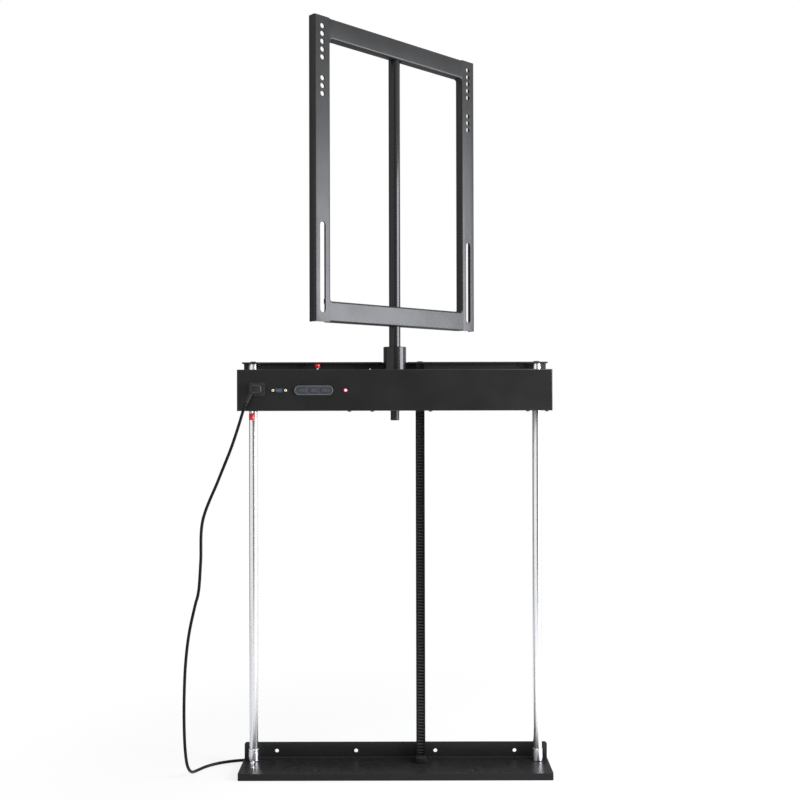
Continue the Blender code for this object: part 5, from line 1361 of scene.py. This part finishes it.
low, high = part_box("power_supply")
middle = middle_of("power_supply")
outline = rounded_loop(high.x - low.x - LID_INSET, high.y - low.y - LID_INSET, LID_CORNER)
vents = [[(u + (i - VENTS // 2) * VENT_PITCH, v + row) for u, v in VENT]
         for i in range(VENTS) for row in VENT_ROWS]
bm = bmesh.new()
pierced(bm, outline, vents, LID_THICK, at(middle.x, middle.y, high.z))
settle("supply_lid", bm, "plated_steel", "carriage")
print("supply: lid with", len(vents), "vents")

# %% [markdown]
# Two gear motors drive the lift and the swivel. Each is a gearbox, a can with rolled grooves
# and an end boss in one turned profile. The lift motor shows its end: four screws and two
# contact blades.

# %% Motors
LIFT_MOTOR = (
    (0.0, 0.0), (0.0206, 0.0), (0.0210, 0.0004), (0.0210, 0.0130), (0.0206, 0.0134),
    (0.0206, 0.0140), (0.0210, 0.0144), (0.0210, 0.0396), (0.0206, 0.0400), (0.0190, 0.0400),
    (0.0190, 0.0900), (0.0186, 0.0903), (0.0186, 0.0908), (0.0190, 0.0911), (0.0190, 0.0975),
    (0.0182, 0.0990), (0.0168, 0.1000), (0.0062, 0.1000), (0.0057, 0.1046), (0.0053, 0.1050),
    (0.0, 0.1050),
)
SWIVEL_MOTOR = (
    (0.0, 0.0), (0.0171, 0.0), (0.0175, 0.0004), (0.0175, 0.0080), (0.0171, 0.0084),
    (0.0171, 0.0090), (0.0175, 0.0094), (0.0175, 0.0216), (0.0171, 0.0220), (0.0158, 0.0220),
    (0.0158, 0.0480), (0.0150, 0.0495), (0.0140, 0.0500), (0.0050, 0.0500), (0.0046, 0.0492),
    (0.0, 0.0492),
)
MOTOR_END, END_SCREW_REACH = 0.1000, 0.0130
END_SCREW = domed(0.0022, 0.0016)
CONTACT_APART, CONTACT_HALF, CONTACT_TALL = 0.0095, 0.0004, 0.0014
CONTACT_ROOT, CONTACT_TIP, CONTACT_EASE = 0.0995, 0.1060, 0.0002

start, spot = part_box("lift_motor")[0].x, middle_of("lift_motor")
bm = bmesh.new()
turn(bm, LIFT_MOTOR, at(start, spot.y, spot.z) @ ALONG_X, 64)
for angle in range(0, 360, 90):
    a = math.radians(angle + 45)
    turn(bm, END_SCREW, at(start + MOTOR_END, spot.y + END_SCREW_REACH * math.cos(a),
                           spot.z + END_SCREW_REACH * math.sin(a)) @ ALONG_X, 16)
for side in (-1, 1):
    y = spot.y + side * CONTACT_APART
    block(bm, (start + CONTACT_ROOT, y - CONTACT_HALF, spot.z - CONTACT_TALL),
          (start + CONTACT_TIP, y + CONTACT_HALF, spot.z + CONTACT_TALL), CONTACT_EASE)
settle("lift_gearmotor", bm, "plated_steel", "carriage", "lift_motor")

foot = at(0.0, 0.0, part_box("swivel_motor")[0].z)
turned("swivel_gearmotor", SWIVEL_MOTOR, "plated_steel", "carriage", "swivel_motor",
       place=upright("swivel_motor") @ foot, steps=64)
print("motors: 2 turned bodies")

# %% [markdown]
# The wires are tied along the carriage floor, red and black in pairs, from the terminals to
# the motors, the supply, the inlet and the switches.

# %% Wires
WIRE_RADIUS, WIRE_SIDES, WIRE_STEP = 0.0009, 8, 0.006
WIRE_ASIDE = 0.0011
FLOOR_GAP = 0.0035

level = tray_low.z + FLOOR_GAP
runs = {
    "supply": ((-0.1070, -0.0395, 0.7560), (-0.1040, -0.0360, 0.7480), (-0.0900, -0.0400, level),
               (0.0300, -0.0430, level), (0.1300, -0.0430, level), (0.1750, -0.0420, 0.7440),
               (0.1865, -0.0410, 0.7500)),
    "lift": ((-0.1270, -0.0395, 0.7560), (-0.1240, -0.0350, 0.7480), (-0.1100, -0.0350, level),
             (0.0300, -0.0365, level), (0.1400, -0.0360, level), (0.1740, -0.0280, 0.7460),
             (0.1790, -0.0160, 0.7640), (0.1715, -0.0095, 0.7780)),
    "swivel": ((-0.1480, -0.0395, 0.7560), (-0.1400, -0.0330, 0.7520), (-0.1050, -0.0250, 0.7700),
               (-0.0780, -0.0120, 0.8000), (-0.0600, -0.0060, 0.8120), (-0.0500, -0.0040, 0.8085)),
    "inlet": ((-0.2700, -0.0425, 0.7780), (-0.2640, -0.0380, 0.7740), (-0.2450, -0.0400, 0.7560),
              (-0.2050, -0.0420, 0.7480), (-0.1800, -0.0400, 0.7480), (-0.1760, -0.0397, 0.7550)),
    "switch": ((-0.1580, -0.0395, 0.7560), (-0.1590, -0.0330, 0.7500), (-0.1600, -0.0200, 0.7440),
               (-0.1600, -0.0050, 0.7440), (-0.1600, 0.0045, 0.7470)),
}
for colour, finish, aside in (("red", "red_plastic", -WIRE_ASIDE),
                              ("black", "black_rubber", WIRE_ASIDE)):
    bm = bmesh.new()
    for places in runs.values():
        shifted = [Vector(p) + Vector((aside, aside, 0.0)) for p in places]
        tube_along(bm, smooth_through(shifted, WIRE_STEP), WIRE_RADIUS, WIRE_SIDES)
    settle(f"tied_wires_{colour}", bm, finish, "carriage", sharp=60)
print("wires:", ", ".join(runs))
